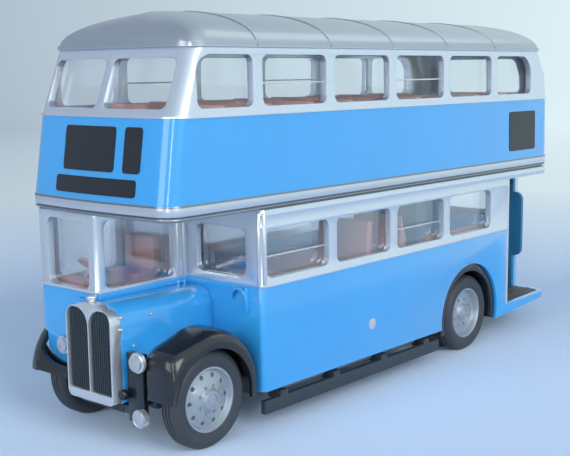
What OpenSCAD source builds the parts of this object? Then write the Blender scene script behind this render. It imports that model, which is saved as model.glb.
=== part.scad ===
// Die-cast scale model of a half-cab, open-platform double decker bus.
// Millimetres. X runs forward, Y to the nearside (left), Z up; the ground is Z = 0
// and the origin lies under the middle of the model.

/* [Overall] */
// Length from the radiator to the rear wall
overall_length = 104; // [102:0.5:107]
// Width over the body sides
body_width = 30; // [29:0.5:31]
// Height of the roof crown above the ground
overall_height = 59.7; // [59:0.1:60.4]
// Distance from the radiator front back to the front axle
front_overhang = 9.7; // [9.4:0.1:10.2]
// Distance from the rear end forward to the rear axle
rear_overhang = 28.8; // [28.2:0.1:29.4]
// Thickness of the cast walls
wall = 1.1; // [0.9:0.1:1.3]

/* [Levels above the ground] */
// Bottom of the skirt between the axles
skirt_z = 5.8; // [5.4:0.1:6.2]
// Bottom of the skirt behind the rear axle
rear_skirt_z = 4.5; // [4.2:0.1:5]
// Bead between the lower panels and the lower windows
lower_waist_z = 21; // [20.6:0.1:21.4]
// Joint between the lower and the upper casting
deck_joint_z = 32.4; // [32:0.1:32.8]
// Top of the band round the upper floor
band_top_z = 34.2; // [34:0.1:34.6]
// Bead between the upper panels and the upper windows
upper_waist_z = 45.2; // [44.8:0.1:45.6]
// Gutter at the edge of the roof
gutter_z = 54.4; // [54:0.1:54.8]

/* [Body plan] */
// Distance from the front axle back to the front bulkhead
bulkhead_setback = 9.3; // [9.2:0.1:9.6]
// Set-back of the canopy corners behind the radiator front
canopy_setback = 1.8; // [1.6:0.1:2.2]
// Radius of the body corners in plan
corner_r = 2.8; // [2:0.2:3.4]
// Forward bow of the front and backward bow of the rear
bow = 0.6; // [0.2:0.1:0.8]
// Lean of the front between the band and the upper waist
panel_lean = 1.7; // [1.2:0.1:2]
// Lean of the front between the upper waist and the gutter
window_lean = 3.4; // [2.8:0.1:3.6]
// Lean of the rear between the upper waist and the gutter
rear_lean = 3.3; // [2.6:0.1:3.6]
// Tumblehome of each side between the band and the gutter
tumblehome = 0.35; // [0.1:0.05:0.6]
// Overhang of the roof gutter
gutter_overhang = 0.3; // [0.2:0.05:0.4]

/* [Windows] */
// Distance between side pillars that the even bays come nearest to
bay_pitch = 15.7; // [14:0.1:18]
// Width of a side pillar
pillar_w = 1.9; // [1.5:0.1:2.3]
// Sill of every window above its waist bead
sill = 1.2; // [1:0.1:1.5]
// Height of the side windows
window_h = 7; // [6.6:0.1:7.2]
// Corner radius of the windows
window_r = 1.1; // [0.8:0.1:1.5]
// Thickness of the clear mouldings
glass_t = 0.7; // [0.5:0.1:0.9]

/* [Cab and bonnet] */
// Offset of the nearside cab wall from the middle, to the offside
cab_wall_offset = 0.4; // [0.2:0.1:0.8]
// Half width of the bonnet and the radiator
bonnet_half_w = 4.9; // [4.7:0.1:5.1]
// Height of the radiator top above the ground
radiator_top_z = 20.3; // [20:0.1:20.5]
// Height of the radiator bottom above the ground
radiator_bottom_z = 6.5; // [6.5:0.1:7]
// Depth of the radiator shell
radiator_t = 1.7; // [1.5:0.1:1.7]
// Gap between the radiator and a headlamp, seen from the front
headlamp_gap = 2.1; // [1.9:0.1:2.3]
// Height of the headlamps above the ground
headlamp_z = 13; // [12.8:0.1:13.4]
// Radius of the nearside headlamp
headlamp_r = 1.4; // [1.3:0.05:1.5]
// Width of the nearside front wing
wing_w = 5.6; // [5.4:0.1:5.8]

/* [Wheels] */
// Radius of every tyre
tyre_r = 6.9; // [6.7:0.1:7]
// Width of one tyre
tyre_w = 3; // [2.8:0.1:3.1]
// Radius of the wheel discs
disc_r = 4.3; // [4:0.1:4.5]
// Inset of the wheel faces behind the body sides
wheel_inset = 1.3; // [1.2:0.1:1.5]
// Radius of the axle rods
axle_r = 0.9; // [0.8:0.05:1]
// Running clearance of a rod in its bearing
bearing_clearance = 0.06; // [0.04:0.01:0.08]

/* [Platform] */
// Length of the open platform ahead of the rear wall
platform_len = 16.4; // [15.8:0.1:16.8]
// Height of the open platform floor
platform_z = 6.8; // [6.6:0.1:7]
// Length of the panel behind the last nearside pillar
end_panel = 5.2; // [4.8:0.1:5.6]
// Nearside edge of the rear wall from the middle
rear_wall_edge = 8; // [7.5:0.1:8.5]

/* [Hidden] */
$fn = 48;
half_w = body_width / 2;
front_x = overall_length / 2;
rear_x = -overall_length / 2 + bow;
front_axle_x = front_x - front_overhang;
rear_axle_x = -overall_length / 2 + rear_overhang;
canopy_x = front_x - canopy_setback;
cab_step = 0.4;
cab_front_x = canopy_x - cab_step;
bulkhead_x = front_axle_x - bulkhead_setback;
radiator_back_x = front_x - radiator_t;
platform_x = rear_x + platform_len;
cab_wall_y = -cab_wall_offset;
joint_gap = 0.4;
lower_top_z = deck_joint_z - joint_gap;
deck_t = 0.9;
lower_sill_z = lower_waist_z + sill;
upper_sill_z = upper_waist_z + sill;
base_z0 = 5.2;
base_t = 1.2;
base_z1 = base_z0 + base_t;
seat_gap = 0.05;
sign_t = 0.12;
arc_n = 7;
bow_n = 8;
through = body_width + 10;

// Even bays between the front bulkhead and the nearside end panel
saloon_room = bulkhead_x - platform_x - end_panel;
bays = max(1, round(saloon_room / bay_pitch));
function pillar_x(i) = bulkhead_x - i * saloon_room / bays;

// Rows of the upper body: z, half width, front x, rear x, corner radius, bow
row_joint = [deck_joint_z, half_w, canopy_x, rear_x, corner_r, bow];
row_band = [band_top_z, half_w, canopy_x, rear_x, corner_r, bow];
row_waist = [upper_waist_z, half_w - tumblehome / 2, canopy_x - panel_lean, rear_x, corner_r, bow];
row_gutter = [gutter_z, half_w - tumblehome, canopy_x - panel_lean - window_lean,
              rear_x + rear_lean, corner_r, bow];
// The rear of the window band curves in, so most of its lean is in the upper half
rear_mid_lean = 0.5;
row_mid = let (m = (row_waist + row_gutter) / 2) [m[0], m[1], m[2], rear_x + rear_mid_lean, m[4], m[5]];

// Roof dome: rise, run at the front and the rear, fullness, growth of its corners and bow
roof_rise = overall_height - gutter_z;
dome_front = 9.5;
dome_rear = 4.5;
dome_power = 1.1;
dome_corner = 2;
dome_bow = 1.5;
dome_steps = 9;
dome_end = 84;
gutter_h = 0.6;

// Wheels
wheel_face_y = half_w - wheel_inset;
rim_t = 0.25;
rim_r = disc_r + rim_t;
rim_face = 0.2;
twin_gap = 0.5;
twin_w = 2 * tyre_w + twin_gap;
bearing_side = 1.8;
bearing_half_w = wheel_face_y - twin_w - bearing_side;

// Nearside front wing, measured from the axle: opening, back, nose, shoulder, flange
wing_t = 0.5;
wing_out_y = half_w - 0.4;
wing_in_y = wing_out_y - wing_w;
wing_open_r = tyre_r + 0.35;
wing_back_r = tyre_r + 1.2;
wing_back_dz = 1.4;
wing_back_dx = wing_back_r - bulkhead_setback + 0.2;
wing_slope = 14.6;
wing_nose_x = tyre_r + 0.7;
wing_nose_r = 2.6;
wing_tip_dz = 1.1;
wing_end_dz = -1.5;
wing_shoulder = 2.2;
wing_flange = 0.8;
wing_lip = 0.1;
nose_drop = 0.5;
nose_reach = 0.9;
wing_front_x = front_axle_x + wing_nose_x;

// Valance of the bonnet over the nearside wheel
valance_r = tyre_r + 0.6;
valance_t = 0.6;
valance_from = 36;
valance_to = 172;

// Offside wing, a rim under the cab: centre from the axle, radii, section, sweep
rim_dx = 0.4;
rim_dz = 1;
rim_out_r = tyre_r + 2.4;
rim_open_r = tyre_r + 1.2;
rim_wall = 0.8;
rim_in_y = half_w - 2.7;
rim_from = 4;
rim_sweep = 190;
// Flaps across the offside wheel at the front and the rear of that rim
flap_inset = 0.1;
flap_lap = 0.2;
flap_end = 0.5;
flap_in_y = bonnet_half_w + seat_gap;
flap_front_sweep = 28;
flap_rear_from = 150;

// Rear wheel arch and the lining inside it: radius, thickness, reach in Y, sweep
arch_r = tyre_r + 2.5;
arch_dx = 0.9;
lining_x = rear_axle_x + arch_dx;
lining_r = arch_r - 0.15;
lining_t = 1.2;
lining_y = [wheel_face_y - twin_w - 0.6, half_w - 0.5];
lining_from = -16;
lining_sweep = 210;

// Base plate: strip under the bonnet, bearings, chassis rails, screws
strip_half_w = bonnet_half_w - 0.3;
bearing_half_l = 2.4;
bearing_drop = 0.7;
bearing_cap = 0.8;
chassis_y = 2.4;
chassis_w = 1;
chassis_h = 1.4;
chassis_end = bearing_half_l - 0.4;
axle_mid_x = (front_axle_x + rear_axle_x) / 2;
plinth_spacing = 26;
plinth_x = [axle_mid_x + plinth_spacing / 2, axle_mid_x - plinth_spacing / 2];
plinth_r = 1.25;
plinth_boss = 1;
plinth_drop = 0.6;
screw_x = [bulkhead_x - 6, rear_axle_x - 8];
screw_r = 1.1;
screw_head = 0.7;
screw_head_h = 0.5;
screw_len = 3.6;
post_wall = 1.2;

// Lifeguard rails
rail_z0 = 2.4;
rail_z1 = 4.4;
rail_t = 0.9;
rail_y = half_w - 0.7;
rail_front_x = bulkhead_x - 0.4;
rail_rear_x = rear_axle_x + arch_dx + arch_r + 0.6;
post_n = 4;
post_w = 1.6;
post_reach = 2.2;
post_lap = 0.6;
post_first = 3;
post_last = 5;
post_pitch = (rail_front_x - rail_rear_x - post_first - post_last) / (post_n - 1);
slat_t = 0.6;
slat_inset = 1.3;
slat_gap = 0.4;

// Points of an arc
function arc(cx, cy, r, from, to, n = arc_n) =
    [for (i = [0 : n]) let (a = from + (to - from) * i / n) [cx + r * cos(a), cy + r * sin(a)]];

// Rectangle with its own radius at each corner, counted from the low corner round
function round_rect(x0, x1, y0, y1, r) =
    concat(arc(x0 + r[0], y0 + r[0], r[0], 180, 270), arc(x1 - r[1], y0 + r[1], r[1], 270, 360),
           arc(x1 - r[2], y1 - r[2], r[2], 0, 90), arc(x0 + r[3], y1 - r[3], r[3], 90, 180));

// Rectangle with one radius all round
function pane(x0, x1, y0, y1, r = window_r) = round_rect(x0, x1, y0, y1, [r, r, r, r]);

// Points of one bowed end between two corners
function bowed(x, from, to, depth) =
    [for (i = [1 : bow_n - 1]) let (y = from + (to - from) * i / bow_n)
        [x + depth * (1 - y * y / (from * from)), y]];

// Plan outline of a body row, drawn in by an inset
function plan(row, inset = 0) =
    let (w = row[1] - inset, xf = row[2] - inset, xr = row[3] + inset,
         r = max(row[4] - inset, 0.5), b = row[5])
    concat(arc(xf - r, w - r, r, 0, 90), arc(xr + r, w - r, r, 90, 180),
           bowed(xr, w - r, r - w, -b), arc(xr + r, r - w, r, 180, 270),
           arc(xf - r, r - w, r, 270, 360), bowed(xf, r - w, w - r, b));

// Outline of a row as points at its own height
function ring(row, inset = 0) = [for (p = plan(row, inset)) [p[0], p[1], row[0]]];

// A row between two others, and a row of the upper window band
function between(a, b, z) = a + (b - a) * (z - a[0]) / (b[0] - a[0]);
function window_row(z) = z < row_mid[0] ? between(row_waist, row_mid, z) : between(row_mid, row_gutter, z);

// Triangles between two neighbouring rings of n points
function strip(lo, hi, n) =
    [for (j = [0 : n - 1]) let (k = (j + 1) % n)
        each [[lo + j, hi + j, hi + k], [lo + j, hi + k, lo + k]]];

// Solid through rings that close on themselves, as a wall does
module wall_loft(rings) {
    n = len(rings[0]);
    m = len(rings);
    polyhedron(points = [for (r = rings) each r],
               faces = [for (i = [0 : m - 1]) each strip(i * n, ((i + 1) % m) * n, n)]);
}

// Solid through rings with a cap at either end, as a dome does
module cap_loft(rings) {
    n = len(rings[0]);
    m = len(rings);
    polyhedron(points = [for (r = rings) each r],
               faces = concat([for (i = [0 : m - 2]) each strip(i * n, (i + 1) * n, n)],
                              [[for (j = [0 : n - 1]) j]],
                              [[for (j = [n - 1 : -1 : 0]) (m - 1) * n + j]]));
}

// Thin curved shell through open sections whose inner points mirror the outer ones
module shell_loft(rings) {
    n = len(rings[0]);
    m = len(rings);
    function end_faces(from) = [for (i = [0 : n / 2 - 2])
        [from + i, from + i + 1, from + n - 2 - i, from + n - 1 - i]];
    polyhedron(points = [for (r = rings) each r],
               faces = concat([for (i = [0 : m - 2]) each strip(i * n, (i + 1) * n, n)], end_faces(0),
                              [for (f = end_faces((m - 1) * n)) [f[3], f[2], f[1], f[0]]]));
}

// Wall through rows of the body, between two insets
module body_wall(rows, outside, inside) {
    last = len(rows) - 1;
    wall_loft(concat([for (r = rows) ring(r, outside)],
                     [for (i = [last : -1 : 0]) ring(rows[i], inside)]));
}

// Prism along X of an outline given in Y and Z
module along_x(x0, x1, points) {
    translate([x0, 0, 0]) rotate([90, 0, 90]) linear_extrude(x1 - x0) polygon(points);
}

// Prism along Y of an outline given in X and Z
module along_y(y0, y1, points) {
    translate([0, y1, 0]) rotate([90, 0, 0]) linear_extrude(y1 - y0) polygon(points);
}

// Box from its low to its high corner
module box(low, high) {
    translate(low) cube(high - low);
}

// Rod along Y
module rod_y(x, z, r, y0, y1) {
    translate([x, y0, z]) rotate([-90, 0, 0]) cylinder(r = r, h = y1 - y0);
}

// Disc or rod along X
module rod_x(y, z, r, x0, x1) {
    translate([x0, y, z]) rotate([0, 90, 0]) cylinder(r = r, h = x1 - x0);
}

// Part of a solid of revolution about a line along Y, from an angle above the front
module sweep_y(x, z, points, from, sweep) {
    translate([x, 0, z]) rotate([-90, 0, 0]) rotate([0, 0, -from - sweep])
        rotate_extrude(angle = sweep) polygon(points);
}

module both_sides() {
    children();
    mirror([0, 1, 0]) children();
}

// Row of the roof dome at an angle above the gutter
function dome_row(angle, inset) =
    let (c = pow(cos(angle), dome_power), s = pow(sin(angle), dome_power), w = (row_gutter[1] - inset) * c)
    [gutter_z + gutter_h * (inset > 0 ? 0 : 1) + (roof_rise - gutter_h - inset) * s, w,
     row_gutter[2] - inset - dome_front * (1 - c), row_gutter[3] + inset + dome_rear * (1 - c),
     min(corner_r - inset + dome_corner * (1 - c), 0.9 * w), bow * c + dome_bow * (1 - c)];

module roof() {
    angles = [for (i = [0 : dome_steps]) dome_end * i / dome_steps];
    inner = [for (i = [dome_steps : -1 : 0]) ring(dome_row(angles[i], wall))];
    outer = [for (a = angles) ring(dome_row(a, 0))];
    lip = [ring(row_gutter, -gutter_overhang),
           ring(row_gutter + [gutter_h, 0, 0, 0, 0, 0], -gutter_overhang)];
    color("silver") cap_loft(concat(inner, lip, outer));
}

// Upper windows: front edge of the first, rear edge of the last, corner radii there, end windows
first_front_x = canopy_x - panel_lean - corner_r - 1.2;
last_rear_x = rear_x + 8;
first_round = 2.4;
last_round = 3;
end_head = 0.4;
end_post = 0.7;
end_edge = half_w - corner_r + 0.3;
rear_window_half_w = 8.5;

module upper_side_windows() {
    z0 = upper_sill_z;
    z1 = upper_sill_z + window_h;
    for (i = [0 : bays - 1])
        along_y(-through, through, pane(pillar_x(i + 1) + pillar_w / 2, pillar_x(i) - pillar_w / 2, z0, z1));
    along_y(-through, through, round_rect(pillar_x(0) + pillar_w / 2, first_front_x, z0, z1,
                                          [1, 1, first_round, 1] * window_r));
    along_y(-through, through, round_rect(last_rear_x, pillar_x(bays) - pillar_w / 2, z0, z1,
                                          [1, 1, 1, last_round] * window_r));
}

module upper_end_windows() {
    z0 = upper_sill_z;
    z1 = upper_sill_z + window_h - end_head;
    for (side = [-1, 1])
        along_x(canopy_x - 12, canopy_x, pane(min(side * end_post, side * end_edge),
                                              max(side * end_post, side * end_edge), z0, z1));
    along_x(rear_x - 2, rear_x + 6, pane(-rear_window_half_w, rear_window_half_w, z0, z1));
}

module upper_window_band() {
    color("silver") difference() {
        body_wall([row_waist, row_mid, row_gutter], 0, wall);
        upper_side_windows();
        upper_end_windows();
    }
}

module upper_panels() {
    color("deepskyblue") body_wall([row_band, row_waist], 0, wall);
}

deck_spigot = 0.5;

module deck_band() {
    color("silver") difference() {
        union() {
            translate([0, 0, deck_joint_z]) linear_extrude(band_top_z - deck_joint_z)
                polygon(plan(row_joint, -sign_t));
            translate([0, 0, lower_top_z]) linear_extrude(joint_gap) polygon(plan(row_joint, deck_spigot));
        }
        translate([0, 0, lower_top_z + deck_t]) linear_extrude(through) polygon(plan(row_joint, wall));
        stairwell(lower_top_z - 1, band_top_z);
    }
}

// Opening in the upper floor above the stairs
stairwell_x = [rear_x + 4, rear_x + 16];
stairwell_y = [-half_w + wall + 0.8, -half_w + wall + 7.5];

module stairwell(z0, z1) {
    box([stairwell_x[0], stairwell_y[0], z0], [stairwell_x[1], stairwell_y[1], z1]);
}

// Outlines of the saloon and the cab, drawn in by an inset
front_corner_r = 0.9;
cab_corner_r = 0.6;
cab_root_r = 0.1;
function saloon(inset) =
    round_rect(rear_x + inset, bulkhead_x - inset, -half_w + inset, half_w - inset,
               [corner_r - inset, front_corner_r, front_corner_r, corner_r - inset]);
function cab(inset) =
    round_rect(bulkhead_x - wall, cab_front_x - inset, -half_w + inset, cab_wall_y - inset,
               [cab_root_r, corner_r - inset, cab_corner_r, cab_root_r]);

module lower_outside(z0, z1) {
    translate([0, 0, z0]) linear_extrude(z1 - z0) polygon(saloon(0));
    translate([0, 0, z0]) linear_extrude(z1 - z0) polygon(cab(0));
}

module lower_inside(z0, z1) {
    translate([0, 0, z0]) linear_extrude(z1 - z0) polygon(saloon(wall));
    difference() {
        translate([0, 0, z0]) linear_extrude(z1 - z0) polygon(cab(wall));
        box([bulkhead_x - wall - 1, -half_w, z0 - 1], [bulkhead_x, half_w, z1 + 1]);
    }
}

// Space of the open platform between two heights
platform_edge = wall + 0.5;
platform_head = 1.4;

module platform_opening(z0, z1) {
    box([rear_x - 5, rear_wall_edge, z0], [rear_x + 5, through, z1]);
    box([rear_x - 5, half_w - platform_edge, z0], [platform_x, through, z1]);
}

// Windows of the lower casting besides the side ones: bulkhead, rear wall and cab
bulkhead_window_y = [1.8, half_w - 3.2];
rear_window_y = [-half_w + 4.5, rear_wall_edge - 4];
cab_sill = 0.4;
cab_head = 1;
cab_post = 2.4;
cab_front_post = 1.5;
cab_corner_post = 1;
cab_edge_post = 0.6;

module lower_windows() {
    z0 = lower_sill_z;
    z1 = lower_sill_z + window_h;
    cab_z0 = lower_waist_z + cab_sill;
    cab_z1 = lower_top_z - cab_head;
    for (i = [0 : bays - 1])
        along_y(-through, through, pane(pillar_x(i + 1) + pillar_w / 2, pillar_x(i) - pillar_w / 2, z0, z1));
    along_x(bulkhead_x - 3, bulkhead_x + 2, pane(bulkhead_window_y[0], bulkhead_window_y[1], z0, z1));
    along_x(rear_x - 3, rear_x + 3, pane(rear_window_y[0], rear_window_y[1], z0, z1));
    along_x(cab_front_x - 3, cab_front_x + 2, pane(-half_w + corner_r + cab_corner_post,
                                                   cab_wall_y - wall - cab_edge_post, cab_z0, cab_z1));
    along_y(cab_wall_y - 3, cab_wall_y + 2,
            pane(bulkhead_x + cab_post, cab_front_x - cab_front_post, cab_z0, cab_z1));
    along_y(-half_w - 2, -half_w + 3,
            pane(bulkhead_x + cab_post, cab_front_x - corner_r - cab_corner_post, cab_z0, cab_z1));
}

module lower_window_band() {
    color("silver") difference() {
        lower_outside(lower_waist_z, lower_top_z);
        lower_inside(lower_waist_z - 1, lower_top_z + 1);
        lower_windows();
        platform_opening(lower_waist_z - 1, lower_top_z - platform_head);
    }
}

// Lower edge of the skirt, as the outline of what is cut away below it
tail_run = 4;
platform_lip = 0.8;
skirt_cut = [[rear_axle_x, -1], [front_x + 5, -1], [front_x + 5, skirt_z], [rear_axle_x, skirt_z]];
tail_cut = [[rear_x - 5, -1], [platform_x + tail_run, -1], [platform_x + tail_run, rear_skirt_z],
            [rear_x - 5, platform_z - platform_lip]];

// Lower edge of the cab front in Y and Z: level beside the bonnet, then a round up to the side
cab_edge_z = 10;
cab_edge_r = 7.65;
cab_edge_y = half_w - 7.4;
cab_front_edge = concat([[0, -1], [0, cab_edge_z]],
                        arc(-cab_edge_y, cab_edge_z + cab_edge_r, cab_edge_r, 270, 195),
                        [[-half_w - 1, cab_edge_z + cab_edge_r], [-half_w - 1, -1]]);
bonnet_low_z = base_z1 + 0.1;
bonnet_clear_z = tyre_r + axle_r + bearing_cap + 0.3;

module lower_panels() {
    color("deepskyblue") difference() {
        lower_outside(rear_skirt_z, lower_waist_z);
        lower_inside(rear_skirt_z - 1, lower_waist_z + 1);
        along_y(-through, through, skirt_cut);
        along_y(-through, through, tail_cut);
        along_x(front_axle_x + 3, front_x + 2, cab_front_edge);
        rod_y(rear_axle_x + arch_dx, tyre_r, arch_r, -through, through);
        rod_y(front_axle_x + rim_dx, tyre_r + rim_dz, rim_out_r + seat_gap, -through, -rim_in_y + flap_inset);
        along_x(bulkhead_x, front_x, bonnet_outline(0));
        box([bulkhead_x, -bonnet_half_w, 0], [front_x, through, bonnet_clear_z]);
        box([bulkhead_x - wall - 1, -strip_half_w - flap_inset, 0],
            [front_x, strip_half_w + flap_inset, bonnet_low_z]);
        platform_opening(platform_z, lower_waist_z + 1);
    }
}

// Bonnet outline in Y and Z: round shoulder on the nearside
bonnet_wall = 0.9;
bonnet_shoulder = 2.8;
bonnet_drop = 0.2;
function bonnet_outline(inset) =
    round_rect(-bonnet_half_w + inset, bonnet_half_w - inset, bonnet_low_z, radiator_top_z - bonnet_drop - inset,
               [0.5, 0.5, bonnet_shoulder - inset, 0.8]);

module bonnet() {
    reach = wing_in_y - seat_gap;
    valance = [[valance_r, bonnet_half_w - bonnet_wall / 2],
               [valance_r + valance_t, bonnet_half_w - bonnet_wall / 2],
               [valance_r + valance_t, reach], [valance_r, reach]];
    color("deepskyblue") {
        difference() {
            along_x(bulkhead_x + seat_gap, radiator_back_x, bonnet_outline(0));
            along_x(bulkhead_x - 1, radiator_back_x - 1, bonnet_outline(bonnet_wall));
            box([bulkhead_x - 1, bonnet_wall - bonnet_half_w, 0],
                [radiator_back_x - 1, bonnet_half_w - bonnet_wall, bonnet_clear_z]);
            box([front_axle_x - bearing_half_l - 0.3, -through, 0],
                [front_axle_x + bearing_half_l + 0.3, through, bonnet_clear_z]);
        }
        sweep_y(front_axle_x, tyre_r, valance, valance_from, valance_to - valance_from);
    }
}

// Radiator outline in Y and Z: nearly square foot, round shoulders and an arched top
radiator_corner = 2.2;
radiator_foot = 0.9;
radiator_arch = 0.6;
radiator_outline =
    let (w = bonnet_half_w, shoulder = w - radiator_corner, z1 = radiator_top_z - radiator_arch)
    concat(arc(radiator_foot - w, radiator_bottom_z + radiator_foot, radiator_foot, 180, 270),
           arc(w - radiator_foot, radiator_bottom_z + radiator_foot, radiator_foot, 270, 360),
           arc(shoulder, z1 - radiator_corner, radiator_corner, 0, 90),
           [for (i = [1 : bow_n - 1]) let (y = shoulder * (1 - 2 * i / bow_n))
               [y, z1 + radiator_arch * (1 - pow(y / shoulder, 2))]],
           arc(-shoulder, z1 - radiator_corner, radiator_corner, 90, 180));

// Mesh panels of the radiator, one each side of the centre bar
centre_bar = 0.2;
mesh_side = 0.6;
mesh_low = 2.3;
mesh_head = 1.2;
mesh_back = 0.6;
mesh_set = 0.45;
mesh_gap = 0.03;
function mesh_outline(side, inset) =
    let (a = side * (centre_bar + inset), b = side * (bonnet_half_w - mesh_side - inset))
    round_rect(min(a, b), max(a, b), radiator_bottom_z + mesh_low + inset, radiator_top_z - mesh_head - inset,
               side > 0 ? [0.2, 0.2, 1.3, radiator_corner] : [0.2, 0.2, radiator_corner, 1.3]);

module radiator_shell() {
    color("silver") difference() {
        along_x(radiator_back_x, front_x, radiator_outline);
        for (side = [-1, 1])
            along_x(radiator_back_x + mesh_back, front_x + 1, mesh_outline(side, 0));
    }
}

module radiator_mesh() {
    color([0.1, 0.1, 0.1]) for (side = [-1, 1])
        along_x(radiator_back_x + mesh_back, front_x - mesh_set, mesh_outline(side, mesh_gap));
}

cap_neck = [0.55, 0.35];
cap_top = [0.75, 0.45];

module radiator_cap() {
    color("silver") translate([front_x - radiator_t / 2, 0, radiator_top_z]) {
        cylinder(r = cap_neck[0], h = cap_neck[1]);
        translate([0, 0, cap_neck[1]]) cylinder(r = cap_top[0], h = cap_top[1]);
    }
}

// Headlamps: the nearside one on its bracket, the offside one on the cab front
headlamp_y = bonnet_half_w + headlamp_gap + headlamp_r;
bracket_x = wing_front_x + seat_gap;
// Lamps: back x, y, z, radius, depth
lamp_table = [[bracket_x, headlamp_y, headlamp_z, headlamp_r, 1.1],
              [cab_front_x, -headlamp_y, headlamp_z - 0.4, headlamp_r - 0.1, 0.5]];
// Section of a lamp as shares of its radius and depth: back, rim, domed front
lamp_section = [[0, 0], [0.85, 0], [1, 0.3], [1, 0.65], [0.86, 0.78], [0.5, 0.95], [0, 1]];

module headlamps() {
    color("silver") for (lamp = lamp_table)
        translate([lamp[0], lamp[1], lamp[2]]) rotate([0, 90, 0])
            rotate_extrude() polygon([for (p = lamp_section) [p[0] * lamp[3], p[1] * lamp[4]]]);
}

// Bracket of the nearside lamps, standing on the base between the bonnet and the wing
bracket_t = 0.9;
bracket_side = 0.6;
bracket_gap = 0.3;
bracket_lap = 1;
fog_z = 5.3;
fog_r = 1.25;
fog_len = 0.8;
fog_y = headlamp_y + 0.1;

module lamp_bracket() {
    y1 = wing_in_y - bracket_gap;
    color([0.08, 0.08, 0.08]) {
        box([bracket_x - bracket_t, bonnet_half_w + bracket_side, fog_z - bracket_lap],
            [bracket_x, y1, headlamp_z + bracket_lap]);
        box([bracket_x - bracket_t, strip_half_w, base_z0], [bracket_x, y1, base_z1]);
    }
}

module fog_lamp() {
    color("silver") rod_x(fog_y, fog_z, fog_r, bracket_x, bracket_x + fog_len);
}

// Side outline of the nearside wing as X and Z from the axle: tip, nose, straight top, back
wing_nose_dz = wing_back_dz
    + (wing_back_r - wing_nose_r + sin(wing_slope) * (wing_back_dx - wing_nose_x + wing_nose_r))
      / cos(wing_slope);
wing_outline = concat([[wing_nose_x + wing_lip, wing_tip_dz]],
                      arc(wing_nose_x - wing_nose_r, wing_nose_dz, wing_nose_r, 0, 90 - wing_slope),
                      arc(wing_back_dx, wing_back_dz, wing_back_r, 90 - wing_slope, 180, 2 * arc_n),
                      [[wing_back_dx - wing_back_r, wing_end_dz]]);

// Section of that wing at one point of its outline, as drop towards the axle and Y:
// inner wall, nose round, crown, shoulder, flange, and back along the inside
function wing_section(p) =
    let (r = norm(p), room = r - wing_open_r, round = nose_drop * pow(max(p[0], 0) / wing_nose_x, 2),
         fall = max(room - wing_flange, wing_lip), inner_fall = min(fall, room - wing_t - wing_lip / 5),
         foot = max(r - wing_open_r, round + wing_t + wing_lip))
    concat([[foot, wing_in_y]],
           [for (a = [0 : 30 : 90]) [round * (1 - sin(a)), wing_in_y + nose_reach * (1 - cos(a))]],
           [for (a = [0 : 15 : 90]) [fall * (1 - cos(a)), wing_out_y - wing_shoulder * (1 - sin(a))]],
           [[room, wing_out_y], [room, wing_out_y - wing_t]],
           [for (a = [90 : -15 : 0]) [wing_t + inner_fall * (1 - cos(a)),
                                      wing_out_y - wing_t - (wing_shoulder - wing_t) * (1 - sin(a))]],
           [for (a = [90 : -30 : 0]) [wing_t + round * (1 - sin(a)),
                                      wing_in_y + wing_t + (nose_reach - wing_t) * (1 - cos(a))]],
           [[foot, wing_in_y + wing_t]]);

module wing_nearside() {
    color([0.08, 0.08, 0.08]) translate([front_axle_x, 0, tyre_r])
        shell_loft([for (p = wing_outline) [for (s = wing_section(p))
            let (q = p * (1 - s[0] / norm(p))) [q[0], s[1], q[1]]]]);
}

// Points of the offside rim's round shoulder, as radius and distance from the middle
function rim_edge(drop, reach, from, to) =
    [for (p = arc(0, 0, 1, from, to)) [rim_open_r + drop * p[1], wing_out_y - wing_shoulder + reach * p[0]]];

module wing_offside() {
    drop = rim_out_r - rim_open_r;
    section = concat([[rim_out_r, rim_in_y]], rim_edge(drop, wing_shoulder, 90, 0),
                     rim_edge(drop - rim_wall, wing_shoulder - rim_wall, 0, 90),
                     [[rim_out_r - rim_wall, rim_in_y]]);
    flap = [[rim_out_r - flap_inset, flap_in_y], [rim_out_r - flap_inset, rim_in_y + flap_lap],
            [rim_out_r - rim_wall + flap_inset, rim_in_y + flap_lap],
            [rim_out_r - rim_wall + flap_inset, flap_in_y]];
    x = front_axle_x + rim_dx;
    z = tyre_r + rim_dz;
    color([0.08, 0.08, 0.08]) {
        mirror([0, 1, 0]) {
            sweep_y(x, z, section, rim_from, rim_sweep);
            sweep_y(x, z, flap, flap_rear_from, rim_from + rim_sweep - flap_rear_from - flap_end);
        }
        intersection() {
            mirror([0, 1, 0]) sweep_y(x, z, flap, rim_from + flap_end, flap_front_sweep);
            along_x(cab_front_x + seat_gap, front_x + rim_out_r, cab_front_edge);
        }
    }
}

// Clear mouldings stand inside the walls, a little below the sills and up to the roof or deck
glass_lap = 0.7;
glass_head = 0.3;
glass_in = wall + seat_gap;
glass_z0 = lower_waist_z + 0.1;

module upper_glazing() {
    color([0.8, 0.9, 0.95, 0.4])
        body_wall([window_row(upper_sill_z - glass_lap), row_mid, window_row(gutter_z - glass_head)],
                  glass_in, glass_in + glass_t);
}

module lower_glazing() {
    color([0.8, 0.9, 0.95, 0.4]) difference() {
        translate([0, 0, glass_z0]) linear_extrude(lower_top_z - glass_z0) polygon(saloon(glass_in));
        translate([0, 0, glass_z0 - 1]) linear_extrude(through) polygon(saloon(glass_in + glass_t));
        box([rear_x - 1, -through, 0], [platform_x + 1, through, deck_joint_z]);
    }
}

module cab_glazing() {
    color([0.8, 0.9, 0.95, 0.4]) difference() {
        translate([0, 0, glass_z0]) linear_extrude(lower_top_z - glass_z0) polygon(cab(glass_in));
        translate([0, 0, glass_z0 - 1]) linear_extrude(through) polygon(cab(glass_in + glass_t));
        box([bulkhead_x - wall - 1, -through, 0], [bulkhead_x + 0.3, through, deck_joint_z]);
    }
}

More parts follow.
